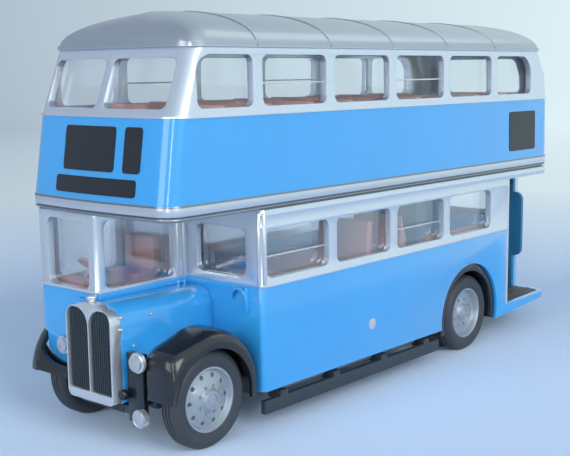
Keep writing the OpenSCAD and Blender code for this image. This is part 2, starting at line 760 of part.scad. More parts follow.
// Seat of the saloons, facing forward and standing on z: cushion and back
seat_pitch = 9.4;
seat_h = 13;
cushion_z = [4.4, 6];
cushion_l = 5.6;
seat_root = 1.4;
seat_profile = [[0, 0], [0, cushion_z[1]], [cushion_l, cushion_z[1]], [cushion_l, cushion_z[0]],
                [seat_root, cushion_z[0]], [seat_root, 0]];
back_profile = [[0, cushion_z[0]], [-1, seat_h], [0.3, seat_h], [seat_root, cushion_z[1]],
                [seat_root, cushion_z[0]]];
aisle = 5;
floor_t = 0.9;
floor_lap = 0.2;
seat_side_gap = 0.5;

module seat(x, z, y0, y1) {
    along_y(y0, y1, [for (p = seat_profile) p + [x, z]]);
    along_y(y0, y1, [for (p = back_profile) p + [x, z]]);
}

// Upper rows: first behind the front, room kept at the rear and over the stairs
upper_first_x = canopy_x - panel_lean - 10.5;
upper_rear_room = 11;
upper_stair_room = 18;
upper_rows = floor((upper_first_x - rear_x - upper_rear_room) / seat_pitch) + 1;

module upper_seats() {
    z0 = lower_top_z + deck_t;
    side_y = half_w - glass_in - tumblehome - glass_t - seat_side_gap;
    color([0.72, 0.32, 0.2]) {
        difference() {
            translate([0, 0, z0]) linear_extrude(floor_t) polygon(plan(row_waist, wall + 0.3));
            stairwell(z0 - 1, z0 + 2);
        }
        for (i = [0 : upper_rows - 1]) {
            x = upper_first_x - i * seat_pitch;
            seat(x, z0 + floor_t - floor_lap, aisle / 2, side_y);
            if (x > rear_x + upper_stair_room)
                seat(x, z0 + floor_t - floor_lap, -side_y, -aisle / 2);
        }
    }
}

// Lower rows, and benches along the sides over the rear wheels
saloon_floor_z = 9.4;
lower_first_x = bulkhead_x - 9;
bench_front_x = rear_axle_x + 12;
bench_rear_x = platform_x + 0.8;
bench_w = 5;
bench_h = 7;
bench_back_t = 1.2;
bench_room = 6;
lower_rows = floor((lower_first_x - bench_front_x - bench_room) / seat_pitch) + 1;
wheel_well = 0.2;

module lower_seats() {
    z0 = saloon_floor_z;
    side_y = half_w - glass_in - glass_t - seat_side_gap;
    color([0.72, 0.32, 0.2]) difference() {
        union() {
            box([bench_rear_x, -side_y, z0],
                [bulkhead_x - glass_in - glass_t - seat_side_gap, side_y, z0 + floor_t]);
            for (i = [0 : lower_rows - 1]) {
                x = lower_first_x - i * seat_pitch;
                seat(x, z0 + floor_t - floor_lap, aisle / 2, side_y);
                seat(x, z0 + floor_t - floor_lap, -side_y, -aisle / 2);
            }
            both_sides() {
                box([bench_rear_x, side_y - bench_w, z0], [bench_front_x, side_y, z0 + bench_h]);
                box([bench_rear_x, side_y - bench_back_t, z0], [bench_front_x, side_y, z0 + seat_h]);
            }
            for (x = screw_x)
                translate([x, 0, base_z1]) cylinder(r = screw_r + post_wall, h = z0 - base_z1 + floor_t / 2);
        }
        both_sides() rod_y(lining_x, tyre_r, lining_r + wheel_well, lining_y[0] - wheel_well, half_w);
        for (x = screw_x)
            translate([x, 0, base_z1 - 1]) cylinder(r = screw_r, h = screw_len - base_t + 1.2);
    }
}

// Cab: floor, seat against the bulkhead, dash behind the windscreen
cab_floor_z = 17.6;
cab_floor_t = 1;
cab_cushion = [5, 2.8];
cab_back = [1.6, 7.9];
dash_x = [cab_front_x - 4.2, cab_front_x - 2];
dash_z = lower_waist_z + 0.8;
cab_side_gap = 1.2;

module cab_seat() {
    y0 = -half_w + wall + cab_side_gap;
    y1 = -bonnet_half_w - cab_side_gap;
    x0 = bulkhead_x + 0.3;
    z0 = cab_floor_z + cab_floor_t;
    color([0.72, 0.32, 0.2]) {
        box([x0, y0, cab_floor_z], [dash_x[1], y1, z0]);
        box([x0, y0, z0], [bulkhead_x + cab_cushion[0], y1, z0 + cab_cushion[1]]);
        box([x0, y0, z0], [bulkhead_x + cab_back[0], y1, z0 + cab_back[1]]);
        box([dash_x[0], y0, z0], [dash_x[1], y1, dash_z]);
    }
}

// Steering wheel on a column that leans forward to the dash
wheel_r = 1.9;
wheel_wire = 0.25;
spoke_w = 0.4;
column_lean = 35;
column_len = 3;
column_top = [dash_x[0] - 2, dash_z + 1.4];

module steering_wheel() {
    color([0.1, 0.1, 0.1])
    translate([column_top[0], -half_w / 2 - 2, column_top[1]]) rotate([0, -column_lean, 0]) {
        rotate_extrude() translate([wheel_r, 0]) circle(r = wheel_wire, $fn = 16);
        for (a = [0, 90])
            rotate([0, 0, a]) translate([-wheel_r, -spoke_w / 2, -spoke_w / 2])
                cube([2 * wheel_r, spoke_w, spoke_w]);
        translate([0, 0, -column_len]) cylinder(r = wheel_wire, h = column_len, $fn = 16);
    }
}

// Stairs rising forward from the platform behind a round screen, and the screen of the rear
// wall with a round tab that reaches into the platform opening
stair_n = 7;
stair_run = 1.7;
stair_w = 7;
stair_side = 0.3;
screen_r = 6;
screen_t = 0.8;
screen_dx = 4;
screen_dy = 3.4;
screen_head = 0.4;
tab_y = [rear_wall_edge - 3, rear_wall_edge + 2];
tab_z = [13.4, 26.4];
tab_r = 1.5;

module staircase() {
    y0 = -half_w + wall + stair_side;
    x0 = rear_x + wall + 2;
    rise = (lower_top_z - 1 - platform_z) / (stair_n + 2);
    panel_x = rear_x + glass_in;
    top_z = lower_top_z - screen_head;
    color([0.1, 0.45, 0.62]) {
        for (i = [0 : stair_n - 1])
            box([x0 + i * stair_run, y0, platform_z],
                [x0 + (i + 1) * stair_run + 0.01, y0 + stair_w, platform_z + rise * (i + 1)]);
        difference() {
            translate([x0 + screen_dx, y0 + screen_dy, platform_z])
                cylinder(r = screen_r, h = top_z - platform_z);
            translate([x0 + screen_dx, y0 + screen_dy, 0]) cylinder(r = screen_r - screen_t, h = through);
            box([rear_x, -through, 0], [x0 + screen_dx, through, through]);
            box([rear_x, -through, 0], [bulkhead_x, y0, through]);
        }
        along_x(panel_x, panel_x + screen_t, pane(tab_y[0], tab_y[1], tab_z[0], tab_z[1], tab_r));
        box([panel_x, tab_y[0], platform_z], [panel_x + screen_t, rear_wall_edge, top_z]);
    }
}

module platform_floor() {
    color([0.2, 0.2, 0.22]) difference() {
        translate([0, 0, platform_z - floor_t]) linear_extrude(floor_t) polygon(saloon(glass_in));
        box([platform_x + 0.4, -through, 0], [front_x, through, platform_z + 1]);
    }
}

pole_r = 0.45;

module platform_pole() {
    color("silver") translate([platform_x - pole_r - seat_gap, half_w - pole_r, platform_z])
        cylinder(r = pole_r, h = lower_top_z - platform_head - platform_z);
}

fuel_cap_r = 0.9;
fuel_cap_z = 11;
fuel_cap_dx = 9.8;

module fuel_cap() {
    color("silver") rod_y(pillar_x(1) - fuel_cap_dx, fuel_cap_z, fuel_cap_r, half_w, half_w + sign_t);
}

// Blank sign boxes at the front: low y, high y, low and high z above the band
sign_table = [[-7.8, 8.8, 0.8, 3.1], [-6.4, 4.3, 3.9, 9.9], [6.1, 9.3, 3.9, 9.9]];
sign_r = 0.5;

module front_signs() {
    color([0.06, 0.06, 0.07]) intersection() {
        body_wall([row_band, row_waist], -sign_t, 0);
        for (s = sign_table)
            along_x(canopy_x - 8, front_x + 5, pane(s[0], s[1], band_top_z + s[2], band_top_z + s[3], sign_r));
    }
}

// Blank sign over the platform: length, inset from its front, clear of the beads
side_sign_len = 9.7;
side_sign_inset = 0.3;
side_sign_clear = [1.6, 2.1];

module side_sign() {
    x1 = platform_x - side_sign_inset;
    color([0.06, 0.06, 0.07]) intersection() {
        body_wall([row_band, row_waist], -sign_t, 0);
        along_y(half_w - 3, half_w + 2, pane(x1 - side_sign_len, x1, band_top_z + side_sign_clear[0],
                                             upper_waist_z - side_sign_clear[1], sign_r));
    }
}

// Nearside edge of the base plate from the rear to the front, as X and Y
base_half_w = half_w - wall - 0.15;
base_edge = [[platform_x + 0.6, strip_half_w], [lining_x + lining_r - lining_t, strip_half_w],
             [lining_x + lining_r - lining_t, base_half_w], [bulkhead_x - wall - 0.2, base_half_w],
             [bulkhead_x - wall - 0.2, strip_half_w], [bracket_x, strip_half_w]];

// Base plate with bearings, chassis rails, the rear arch linings, the casting's screws and
// two display screw holes
module base_plate() {
    last = len(base_edge) - 1;
    lining = [[lining_r - lining_t, lining_y[0]], [lining_r, lining_y[0]],
              [lining_r, lining_y[1]], [lining_r - lining_t, lining_y[1]]];
    color([0.08, 0.08, 0.08]) difference() {
        union() {
            translate([0, 0, base_z0]) linear_extrude(base_t)
                polygon(concat(base_edge, [for (i = [last : -1 : 0]) [base_edge[i][0], -base_edge[i][1]]]));
            both_sides() sweep_y(lining_x, tyre_r, lining, lining_from, lining_sweep);
            for (x = [front_axle_x, rear_axle_x])
                box([x - bearing_half_l, -bearing_half_w, base_z0 - bearing_drop],
                    [x + bearing_half_l, bearing_half_w, tyre_r + axle_r + bearing_cap]);
            both_sides() box([rear_axle_x + chassis_end, chassis_y, base_z0 - chassis_h],
                             [front_axle_x - chassis_end, chassis_y + chassis_w, base_z0 + base_t / 2]);
            for (x = plinth_x)
                translate([x, 0, base_z0 - plinth_drop])
                    cylinder(r = plinth_r + plinth_boss, h = base_t + 2 * plinth_drop);
        }
        for (x = [front_axle_x, rear_axle_x])
            rod_y(x, tyre_r, axle_r + bearing_clearance, -through, through);
        for (x = plinth_x)
            translate([x, 0, base_z0 - 1]) cylinder(r = plinth_r, h = 10);
        for (x = screw_x)
            translate([x, 0, base_z0 - 1]) cylinder(r = screw_r, h = 10);
    }
}

module base_screws() {
    color("gray") for (x = screw_x) translate([x, 0, base_z0 - screw_head_h]) {
        cylinder(r = screw_r + screw_head, h = screw_head_h);
        cylinder(r = screw_r - seat_gap, h = screw_len);
    }
}

module lifeguard_rails() {
    color([0.08, 0.08, 0.08]) both_sides() {
        box([rail_rear_x, rail_y - rail_t / 2, rail_z0], [rail_front_x, rail_y + rail_t / 2, rail_z1]);
        for (i = [0 : post_n - 1]) {
            x = rail_rear_x + post_first + post_pitch * i;
            box([x, rail_y - post_reach, rail_z1 - post_lap], [x + post_w, rail_y + rail_t / 2, base_z0]);
        }
    }
}

module lifeguard_slats() {
    color("silver") both_sides() for (i = [0 : post_n - 2]) {
        x = rail_rear_x + post_first + post_pitch * i;
        box([x + post_w + slat_gap, rail_y - slat_inset - slat_t, rail_z1 + slat_gap / 4],
            [x + post_pitch - slat_gap, rail_y - slat_inset, base_z0]);
    }
}

// Tyre section as radius and distance along the axle, from its outer face inward
wall_bulge = 1;
tread_edge = 0.8;
shoulder_in = 0.35;
tyre_section = [[rim_r, rim_face], [tyre_r - wall_bulge, 0], [tyre_r - shoulder_in, 0.3],
                [tyre_r, tread_edge], [tyre_r, tyre_w - tread_edge],
                [tyre_r - shoulder_in, tyre_w - 0.3], [tyre_r - wall_bulge, tyre_w],
                [rim_r, tyre_w - rim_face]];

module tyre(x, face_y) {
    translate([x, face_y, tyre_r]) rotate([90, 0, 0]) rotate_extrude() polygon(tyre_section);
}

module front_tyres() {
    color([0.07, 0.07, 0.07]) both_sides() tyre(front_axle_x, wheel_face_y);
}

module rear_tyres() {
    color([0.07, 0.07, 0.07]) both_sides() {
        tyre(rear_axle_x, wheel_face_y);
        tyre(rear_axle_x, wheel_face_y - tyre_w - twin_gap);
    }
}

// Wheel disc sections as radius and distance inward from the wheel face: hub, dish, rim, back
hub_out = 0.4;
hub_r = axle_r + 0.4;
front_back = tyre_w - rim_face;
rear_back = twin_w - rim_face;
front_section = [[axle_r, -hub_out], [hub_r, -hub_out], [hub_r + 0.3, 0.1], [hub_r + 0.9, 0.3],
                 [hub_r + 1.4, 0.5], [disc_r - 0.4, 0.9], [disc_r, rim_face], [rim_r, rim_face],
                 [rim_r, front_back], [axle_r, front_back]];
rear_section = [[axle_r, 0.6], [hub_r, 0.6], [hub_r + 0.4, 1.2], [disc_r - 0.5, 1.4], [disc_r, rim_face],
                [rim_r, rim_face], [rim_r, rear_back], [axle_r, rear_back]];
hole_n = 10;
hole_r = 0.32;
hole_circle = disc_r - 0.95;

module front_discs() {
    color("silver") both_sides()
    translate([front_axle_x, wheel_face_y, tyre_r]) rotate([90, 0, 0]) difference() {
        rotate_extrude() polygon(front_section);
        for (i = [0 : hole_n - 1])
            rotate([0, 0, i * 360 / hole_n]) translate([hole_circle, 0, -1])
                cylinder(r = hole_r, h = 2.4, $fn = 16);
    }
}

module rear_discs() {
    color("silver") both_sides() translate([rear_axle_x, wheel_face_y, tyre_r]) rotate([90, 0, 0])
        rotate_extrude() polygon(rear_section);
}

// Axle rods end just outside the front hubs and inside the rear ones
rod_out = 0.3;
rod_in = 0.7;

module front_axle() {
    color("gray") rod_y(front_axle_x, tyre_r, axle_r, -wheel_face_y - rod_out, wheel_face_y + rod_out);
}

module rear_axle() {
    color("gray") rod_y(rear_axle_x, tyre_r, axle_r, rod_in - wheel_face_y, wheel_face_y - rod_in);
}

roof();
upper_window_band();
upper_panels();
deck_band();
lower_window_band();
lower_panels();
bonnet();
radiator_shell();
radiator_mesh();
radiator_cap();
headlamps();
lamp_bracket();
fog_lamp();
wing_nearside();
wing_offside();
upper_glazing();
lower_glazing();
cab_glazing();
upper_seats();
lower_seats();
cab_seat();
steering_wheel();
staircase();
platform_floor();
platform_pole();
fuel_cap();
front_signs();
side_sign();
base_plate();
base_screws();
lifeguard_rails();
lifeguard_slats();
front_axle();
front_discs();
front_tyres();
rear_axle();
rear_discs();
rear_tyres();
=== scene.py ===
"""Looks of a die-cast half-cab double decker bus model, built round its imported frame."""

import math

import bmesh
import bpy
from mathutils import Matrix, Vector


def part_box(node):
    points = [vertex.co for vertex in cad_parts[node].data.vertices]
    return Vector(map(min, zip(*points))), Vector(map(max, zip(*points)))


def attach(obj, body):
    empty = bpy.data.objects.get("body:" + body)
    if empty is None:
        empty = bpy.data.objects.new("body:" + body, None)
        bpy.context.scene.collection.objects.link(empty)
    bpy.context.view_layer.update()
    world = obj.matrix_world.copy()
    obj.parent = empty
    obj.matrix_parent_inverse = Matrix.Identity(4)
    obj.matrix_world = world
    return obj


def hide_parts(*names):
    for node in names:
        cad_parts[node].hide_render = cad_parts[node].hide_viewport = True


bl_info = {
    "name": "Die-cast double decker bus",
    "version": (1, 0, 0),
    "blender": (4, 5, 0),
    "location": "View3D > Sidebar > Bus model",
    "description": "Dresses a scale model bus with painted castings, trim, wheels and a studio stage",
    "category": "Object",
}

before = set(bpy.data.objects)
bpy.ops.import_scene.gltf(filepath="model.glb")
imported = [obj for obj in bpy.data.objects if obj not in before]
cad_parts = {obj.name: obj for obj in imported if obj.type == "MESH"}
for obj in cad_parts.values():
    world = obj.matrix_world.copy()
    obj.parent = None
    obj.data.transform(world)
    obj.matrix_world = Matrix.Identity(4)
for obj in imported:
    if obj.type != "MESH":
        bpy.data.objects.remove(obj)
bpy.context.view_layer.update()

MM = 0.001
BUS = "bus"
FRONT_SET = "front_axle_set"
REAR_SET = "rear_axle_set"
X_AXIS = Vector((1, 0, 0))
Y_AXIS = Vector((0, 1, 0))
Z_AXIS = Vector((0, 0, 1))
MIRROR_Y = Matrix.Scale(-1, 4, Y_AXIS)
ROD_TURN = {"X": (0, math.pi / 2, 0), "Y": (math.pi / 2, 0, 0), "Z": (0, 0, 0)}


def mm(*values):
    """A vector given in millimetres."""
    return Vector(values) * MM


# Angles between faces that still shade as one skin, in degrees
SMOOTH = 38.0
SMOOTH_ROUND = 50.0
SMOOTH_WING = 45.0
SMOOTH_CRISP = 30.0

# Radii of the edges of small pieces
FINE_EDGE = 0.1 * MM
PLATE_EDGE = 0.08 * MM
CRISP_EDGE = 0.04 * MM
KNOB_EDGE = 0.25 * MM

# Points nearer than this are one point
NODE_WELD = 0.004 * MM
SEAT_WELD = 0.01 * MM
CROWN_WELD = 0.02 * MM

# Middle line that the skin looks away from: half length and top
CORE_X = 30 * MM
CORE_Z = 48 * MM

# Silver: zones of painted shade on the deck band and the roof as low end, high end and factor, with soft
# edges, and grooves with painted shade as middle, half width and strength. One of the grooves is cut into the
# casting as well
SHADED_HEIGHTS = ((32.0 * MM, 34.2 * MM, 0.9), (54.6 * MM, 60.0 * MM, 0.64))
SHADED_EDGE = 0.4 * MM
SHADED_GROOVES = ((34.06 * MM, 0.14 * MM, 0.8), (32.62 * MM, 0.17 * MM, 1.0), (32.12 * MM, 0.13 * MM, 0.7))
CUT_GROOVE = 1

# Ends of the roof's crown, how far below the top it reaches, the beads below the deck, and the pillars
CROWN_ENDS = (36.3 * MM, -43.9 * MM)
CROWN_DEPTH = 0.01 * MM
CORNICE_LINES = (29.5 * MM, 31.3 * MM)
PILLARS = 5

# Corner beads of the bulkhead, placed in X from its pillar
CORNER_BEAD_RADIUS = 0.3 * MM
CORNER_BEAD_EDGE = 0.15 * MM
CORNER_BEAD_ENDS = (21.3 * MM, 31.6 * MM)
CORNER_BEADS = (mm(0, 14.35, 0), mm(-0.55, 14.9, 0))

# Pips on the nearside of the bonnet
PIP_RADIUS = 0.2 * MM
PIP_LENGTH = 0.7 * MM
PIPS = [mm(x, 4.9, z) for x, z in ((50.2, 18.6), (50.2, 16.9), (48.2, 14.3), (45.0, 18.2))]

# Ribs of the cab's pillar: name, slot, finish, foot and top
CAB_RIBS = (("cab_pillar_ribs", "body_silver", "bright_silver", 21.1 * MM, 31.4 * MM),
            ("cab_waist_ribs", "body_blue", "body_blue", 18.4 * MM, 20.6 * MM))
CAB_RIB_RADIUS = 0.28 * MM
CAB_RIB_PLACES = [mm(x, -0.4, 0) for x in (34.8, 33.6, 32.3)]

# Step ring and post on the bulkhead, from its pillar
HANDLE_CENTRE = mm(0.5, 10.7, 19.0)
HANDLE_RADIUS = 1.5 * MM
HANDLE_WIRE = 0.26 * MM
HANDLE_SKIN = 0.02 * MM
POST_CORNERS = (mm(-0.1, 12.0, 17.3), mm(0.7, 12.4, 20.8))

# Radiator panels: how far past the mesh a point still counts, growth in Y and Z, move outward and up, and
# the wires as half width in pitches and heights
RADIATOR_HOLE = 0.05 * MM
PANEL_GROWTH = (1.1, 1.13)
PANEL_MOVE = (0.1 * MM, -0.35 * MM)
WIRE_SHARE = 0.18
UPRIGHT_WIRE = 0.1 * MM
LEVEL_WIRE = 0.06 * MM

# Lamp rims and lenses
RIM_WIDTH = 0.14 * MM
RIM_DEPTH = 0.08 * MM
LENS_SHARE = 0.78
LENS_LENGTH = 0.2 * MM
LENS_RISE = 0.06 * MM
LENS_STEPS = (0.8, 0.5)

# Knob beside the radiator, and the plates below the cab, in X from the front of the lower panels
KNOB_PLACE = mm(50.7, 5.45, 8.1)
KNOB_RADIUS = 0.75 * MM
KNOB_LENGTH = 0.9 * MM
PLATE_CORNERS = (mm(0.05, -13.2, 8.6), mm(0.4, -5.2, 13.4))
BACKING_CORNERS = (mm(-2.5, -13.9, 12.0), mm(-2.1, -5.2, 17.0))
CAB_EDGE_CENTRE = mm(0, -7.6, 17.65)
CAB_EDGE_RADIUS = 7.55 * MM
CAB_EDGE_CUT = 8 * MM

# Bars of the opening windows: room at the pillars, back and front, half height, and the bays that have one
BAR_ROOM = 1.6 * MM
BAR_BACK = -0.05 * MM
BAR_FRONT = 0.12 * MM
BAR_HALF = 0.12 * MM
OPENING_BAYS = (0, 2)

# Lower seat backs: tops, how far below the top a point still counts, and the bays from the first pillar
# where the low backs end and where the high row stands
LOW_BACK = {"offside": 19.0 * MM, "first_bay": 21.2 * MM}
HIGH_BACK = 27.0 * MM
BACK_TOP = 0.5 * MM
LOW_BAYS = 1.1
HIGH_BAYS = (1.75, 2.4)

# Tread ribs of the platform: spaces between them, half width, height, and how far below the top the
# floor still counts
PLATFORM_SPACES = 11
TREAD_HALF = 0.2 * MM
TREAD_HEIGHT = 0.12 * MM
TREAD_ZONE = 1.2 * MM

# Wheel sets: end, body, radius of the ring of nuts, and their depth inside the tyre's outer side
WHEEL_SETS = (("front", FRONT_SET, 1.95 * MM, 0.05 * MM), ("rear", REAR_SET, 2.5 * MM, 1.15 * MM))
AXLE_EDGE = 0.06 * MM
DISC_EDGE = 0.05 * MM
NUT_RADIUS = 0.22 * MM
NUT_LENGTH = 0.3 * MM

# Tyres: grooves as shares of the width, tread and sidewall from a share of the radius outward, and how far
# their faces may look along the axle
TYRE_WIDTH = 3.0 * MM
TWIN_PITCH = 3.5 * MM
TYRE_GROOVES = (0.3, 0.5, 0.7)
GROOVE_HALF = 0.1 * MM
GROOVE_DEPTH = 0.16 * MM
TREAD_FROM = 0.9
SIDEWALL_FROM = 0.68
SIDEWALL_INSET = 0.16 * MM
SIDEWALL_RISE = 0.07 * MM
TREAD_LOOK = 0.3
SIDEWALL_LOOK = 0.8

# Stage: sky tones, paper sweep in metres with its tones of painted light from left to right, and lamps
# as name, place, target, width, height and watts
SKY_LOW = (0.80, 0.90, 1.0)
SKY_HIGH = (0.36, 0.41, 0.46)
SKY_RISE = 0.9
SWEEP_SIZE = 1.6
SWEEP_BEND = 0.25
SWEEP_SIDES = (-0.3, 0.32)
SWEEP_GLOW = (0.09, 0.28)
SWEEP_FAR = (0.58, 1.2)
SWEEP_NEAR = (0.86, 1.04)
LAMPS = (
    ("key", (0.25, 0.8, 0.42), (0.0, 0.0, 0.03), 0.7, 0.5, 5.0),
    ("fill", (0.8, -0.05, 0.3), (0.0, 0.0, 0.03), 0.5, 0.5, 2.0),
    ("strip", (0.5, 0.32, 0.22), (0.03, 0.0, 0.03), 0.03, 0.5, 0.6),
    ("back", (-0.6, 0.1, 0.6), (0.0, 0.0, 0.03), 0.5, 0.4, 0.3),
)


class BusSizes(bpy.types.PropertyGroup):
    """Sizes of the trim that the dressing adds."""

    casting_edge: bpy.props.FloatProperty(
        name="Casting edge", description="Round on the edges of the painted castings",
        default=0.12 * MM, unit="LENGTH", precision=5)
    moulding_edge: bpy.props.FloatProperty(
        name="Moulding edge", description="Round on the edges of the plastic mouldings",
        default=0.2 * MM, unit="LENGTH", precision=5)
    bead_height: bpy.props.FloatProperty(
        name="Bead height", description="Height of the cast beads and ribs above the skin",
        default=0.2 * MM, unit="LENGTH", precision=5)
    bead_width: bpy.props.FloatProperty(
        name="Bead width", description="Width of the cast beads and ribs",
        default=0.4 * MM, unit="LENGTH", precision=5)
    first_pillar: bpy.props.FloatProperty(
        name="First pillar", description="Place of the front bulkhead's pillar along the model",
        default=33.0 * MM, unit="LENGTH", precision=5)
    bay: bpy.props.FloatProperty(
        name="Bay", description="Distance between the window pillars",
        default=15.7 * MM, unit="LENGTH", precision=5)
    lower_bar: bpy.props.FloatProperty(
        name="Lower window bar", description="Height of the bar across the opening lower windows",
        default=25.1 * MM, unit="LENGTH", precision=5)
    upper_bar: bpy.props.FloatProperty(
        name="Upper window bar", description="Height of the bar across the opening upper windows",
        default=49.5 * MM, unit="LENGTH", precision=5)
    mesh_pitch: bpy.props.FloatProperty(
        name="Mesh pitch", description="Distance between the wires of the radiator mesh",
        default=0.46 * MM, unit="LENGTH", precision=5)
    nuts: bpy.props.IntProperty(
        name="Wheel nuts", description="Nuts on each wheel disc", default=8)


class BusColours(bpy.types.PropertyGroup):
    """Colours of the finishes, as linear light."""

    body_blue: bpy.props.FloatVectorProperty(
        name="Body blue", description="Gloss paint of the panels", subtype="COLOR",
        default=(0.045, 0.40, 0.84))
    body_silver: bpy.props.FloatVectorProperty(
        name="Body silver", description="Satin paint of the roof and the window bands", subtype="COLOR",
        default=(0.69, 0.745, 0.82))
    plated: bpy.props.FloatVectorProperty(
        name="Plated", description="Bright metal of the radiator, lamps and wheels", subtype="COLOR",
        default=(0.72, 0.73, 0.75))
    black_plastic: bpy.props.FloatVectorProperty(
        name="Black plastic", description="Base, wings and rails", subtype="COLOR",
        default=(0.010, 0.012, 0.017))
    terracotta: bpy.props.FloatVectorProperty(
        name="Terracotta", description="Seat mouldings", subtype="COLOR", default=(0.80, 0.36, 0.30))
    tyre: bpy.props.FloatVectorProperty(
        name="Tyre", description="Rubber of the tyres", subtype="COLOR", default=(0.042, 0.048, 0.058))
    floor: bpy.props.FloatVectorProperty(
        name="Floor", description="Pale paper sweep under the model", subtype="COLOR",
        default=(0.67, 0.81, 0.98))


class PhotoView(bpy.types.PropertyGroup):
    """Where the camera stands."""

    azimuth: bpy.props.FloatProperty(
        name="Azimuth", description="Direction of the camera round the model", subtype="ANGLE",
        default=math.radians(130.56))
    elevation: bpy.props.FloatProperty(
        name="Elevation", description="Tilt of the camera down to the model", subtype="ANGLE",
        default=math.radians(8.554))
    roll: bpy.props.FloatProperty(
        name="Roll", description="Turn of the camera about its own axis", subtype="ANGLE",
        default=math.radians(-0.598))
    place: bpy.props.FloatVectorProperty(
        name="Place", description="Position of the camera", subtype="TRANSLATION",
        default=(138.09 * MM, 112.74 * MM, 51.14 * MM))
    lens: bpy.props.FloatProperty(
        name="Lens", description="Focal length for a 36 mm wide sensor, in millimetres", default=65.94)
    shift: bpy.props.FloatVectorProperty(
        name="Shift", description="Lens shift across and up, as shares of the picture width", size=2,
        default=(-0.0341, -0.0005))


class Socket:
    """An output socket of a finish that takes part in arithmetic."""

    def __init__(self, finish, socket):
        self.finish = finish
        self.socket = socket

    def __add__(self, other):
        return self.finish.maths("ADD", self, other)

    def __radd__(self, other):
        return self.finish.maths("ADD", other, self)

    def __sub__(self, other):
        return self.finish.maths("SUBTRACT", self, other)

    def __rsub__(self, other):
        return self.finish.maths("SUBTRACT", other, self)

    def __mul__(self, other):
        return self.finish.maths("MULTIPLY", self, other)

    def __rmul__(self, other):
        return self.finish.maths("MULTIPLY", other, self)

    def __pow__(self, other):
        return self.finish.maths("POWER", self, other)


class Finish:
    """One procedural material, or the sky, and its nodes."""

    def __init__(self, name, sky=False):
        self.material = bpy.data.worlds.new(name) if sky else bpy.data.materials.new(name)
        self.material.use_nodes = True
        self.tree = self.material.node_tree
        self.tree.nodes.clear()

    def add(self, kind, settings=None, sockets=None, output=0):
        """Adds a node of a kind with its settings and the values or links of its sockets."""
        node = self.tree.nodes.new(kind)
        for name, value in (settings or {}).items():
            if name == "stops":
                for stop, (place, colour) in zip(node.color_ramp.elements, value):
                    stop.position = place
                    stop.color = colour
            else:
                setattr(node, name, value)
        for name, value in (sockets or {}).items():
            if isinstance(value, Socket):
                self.tree.links.new(value.socket, node.inputs[name])
            else:
                node.inputs[name].default_value = value
        return Socket(self, node.outputs[output])

    def maths(self, operation, a, b):
        return self.add("ShaderNodeMath", {"operation": operation}, {0: a, 1: b})

    def mix(self, factor, a, b):
        """Mixes two colours, each a socket or a colour of three or four numbers."""
        pair = [c if isinstance(c, Socket) else (*c, 1)[:4] for c in (a, b)]
        return self.add("ShaderNodeMix", {"data_type": "RGBA"}, {0: factor, 6: pair[0], 7: pair[1]}, 2)

    def object_place(self):
        return self.add("ShaderNodeTexCoord", output=3)

    def noise(self, size, detail=3.0):
        """Soft noise whose features are about that size in metres."""
        return self.add("ShaderNodeTexNoise", None,
                        {"Vector": self.object_place(), "Scale": 1 / size, "Detail": detail})

    def steps(self, value, low, high):
        """Ramps a value from 0 at low to 1 at high."""
        return self.add("ShaderNodeMapRange", None,
                        {"Value": value, "From Min": low, "From Max": high})

    def bump(self, height, depth, strength=1.0):
        return self.add("ShaderNodeBump", None,
                        {"Height": height, "Distance": depth, "Strength": strength})

    def surface(self, **sockets):
        """Closes the finish with a principled surface."""
        names = {name.replace("_", " ").title(): value for name, value in sockets.items()}
        return self.show(self.add("ShaderNodeBsdfPrincipled", None, names))

    def show(self, shader, kind="Material"):
        """Links the last shader to the output."""
        node = self.tree.nodes.new("ShaderNodeOutput" + kind)
        self.tree.links.new(shader.socket, node.inputs["Surface"])
        return self.material


def shade(colour, factor):
    """A colour made darker or lighter by a factor."""
    return tuple(min(channel * factor, 1.0) for channel in colour)


def gloss_paint(name, colour):
    finish = Finish(name)
    cloud = finish.noise(22 * MM)
    peel = finish.noise(0.55 * MM, 1.0)
    tone = finish.mix(cloud, shade(colour, 0.94), shade(colour, 1.06))
    return finish.surface(
        base_color=tone, roughness=0.2 + 0.06 * cloud, coat_weight=0.9, coat_roughness=0.04,
        normal=finish.bump(peel, 0.003 * MM, 0.3))


def satin_silver(name, colour):
    """Silver lacquer: fine flake, with painted shade on the roof and deck band and along the grooves."""
    finish = Finish(name)
    cloud = finish.noise(15 * MM)
    flake = finish.noise(0.35 * MM, 2.0)
    height = finish.add("ShaderNodeSeparateXYZ", None, {0: finish.object_place()}, 2)
    tone = finish.mix(flake, shade(colour, 0.98), shade(colour, 1.02))
    tone = finish.mix(0.35 * cloud, tone, shade(colour, 0.95))
    # Painted shade: the deck band and the roof darkened by height
    for low, high, factor in SHADED_HEIGHTS:
        within = finish.steps(height, low - SHADED_EDGE, low) * finish.steps(height, high + SHADED_EDGE, high)
        tone = finish.mix(within, tone, shade(colour, factor))
    # Painted shade: dark lines along the grooves
    for middle, half, strength in SHADED_GROOVES:
        away = finish.maths("ABSOLUTE", height - middle, 0)
        tone = finish.mix(strength * finish.steps(away, 1.3 * half, 0.7 * half), tone, shade(colour, 0.22))
    return finish.surface(base_color=tone, metallic=0.7, roughness=0.22 + 0.06 * cloud)


def plated_metal(name, colour, roughness=0.2, metallic=0.7):
    """Bright metal with soft changes of polish."""
    finish = Finish(name)
    grain = finish.noise(0.6 * MM, 2.0)
    cloud = finish.noise(5 * MM)
    return finish.surface(
        base_color=finish.mix(cloud, shade(colour, 0.92), shade(colour, 1.05)),
        metallic=metallic, roughness=roughness + 0.1 * grain)


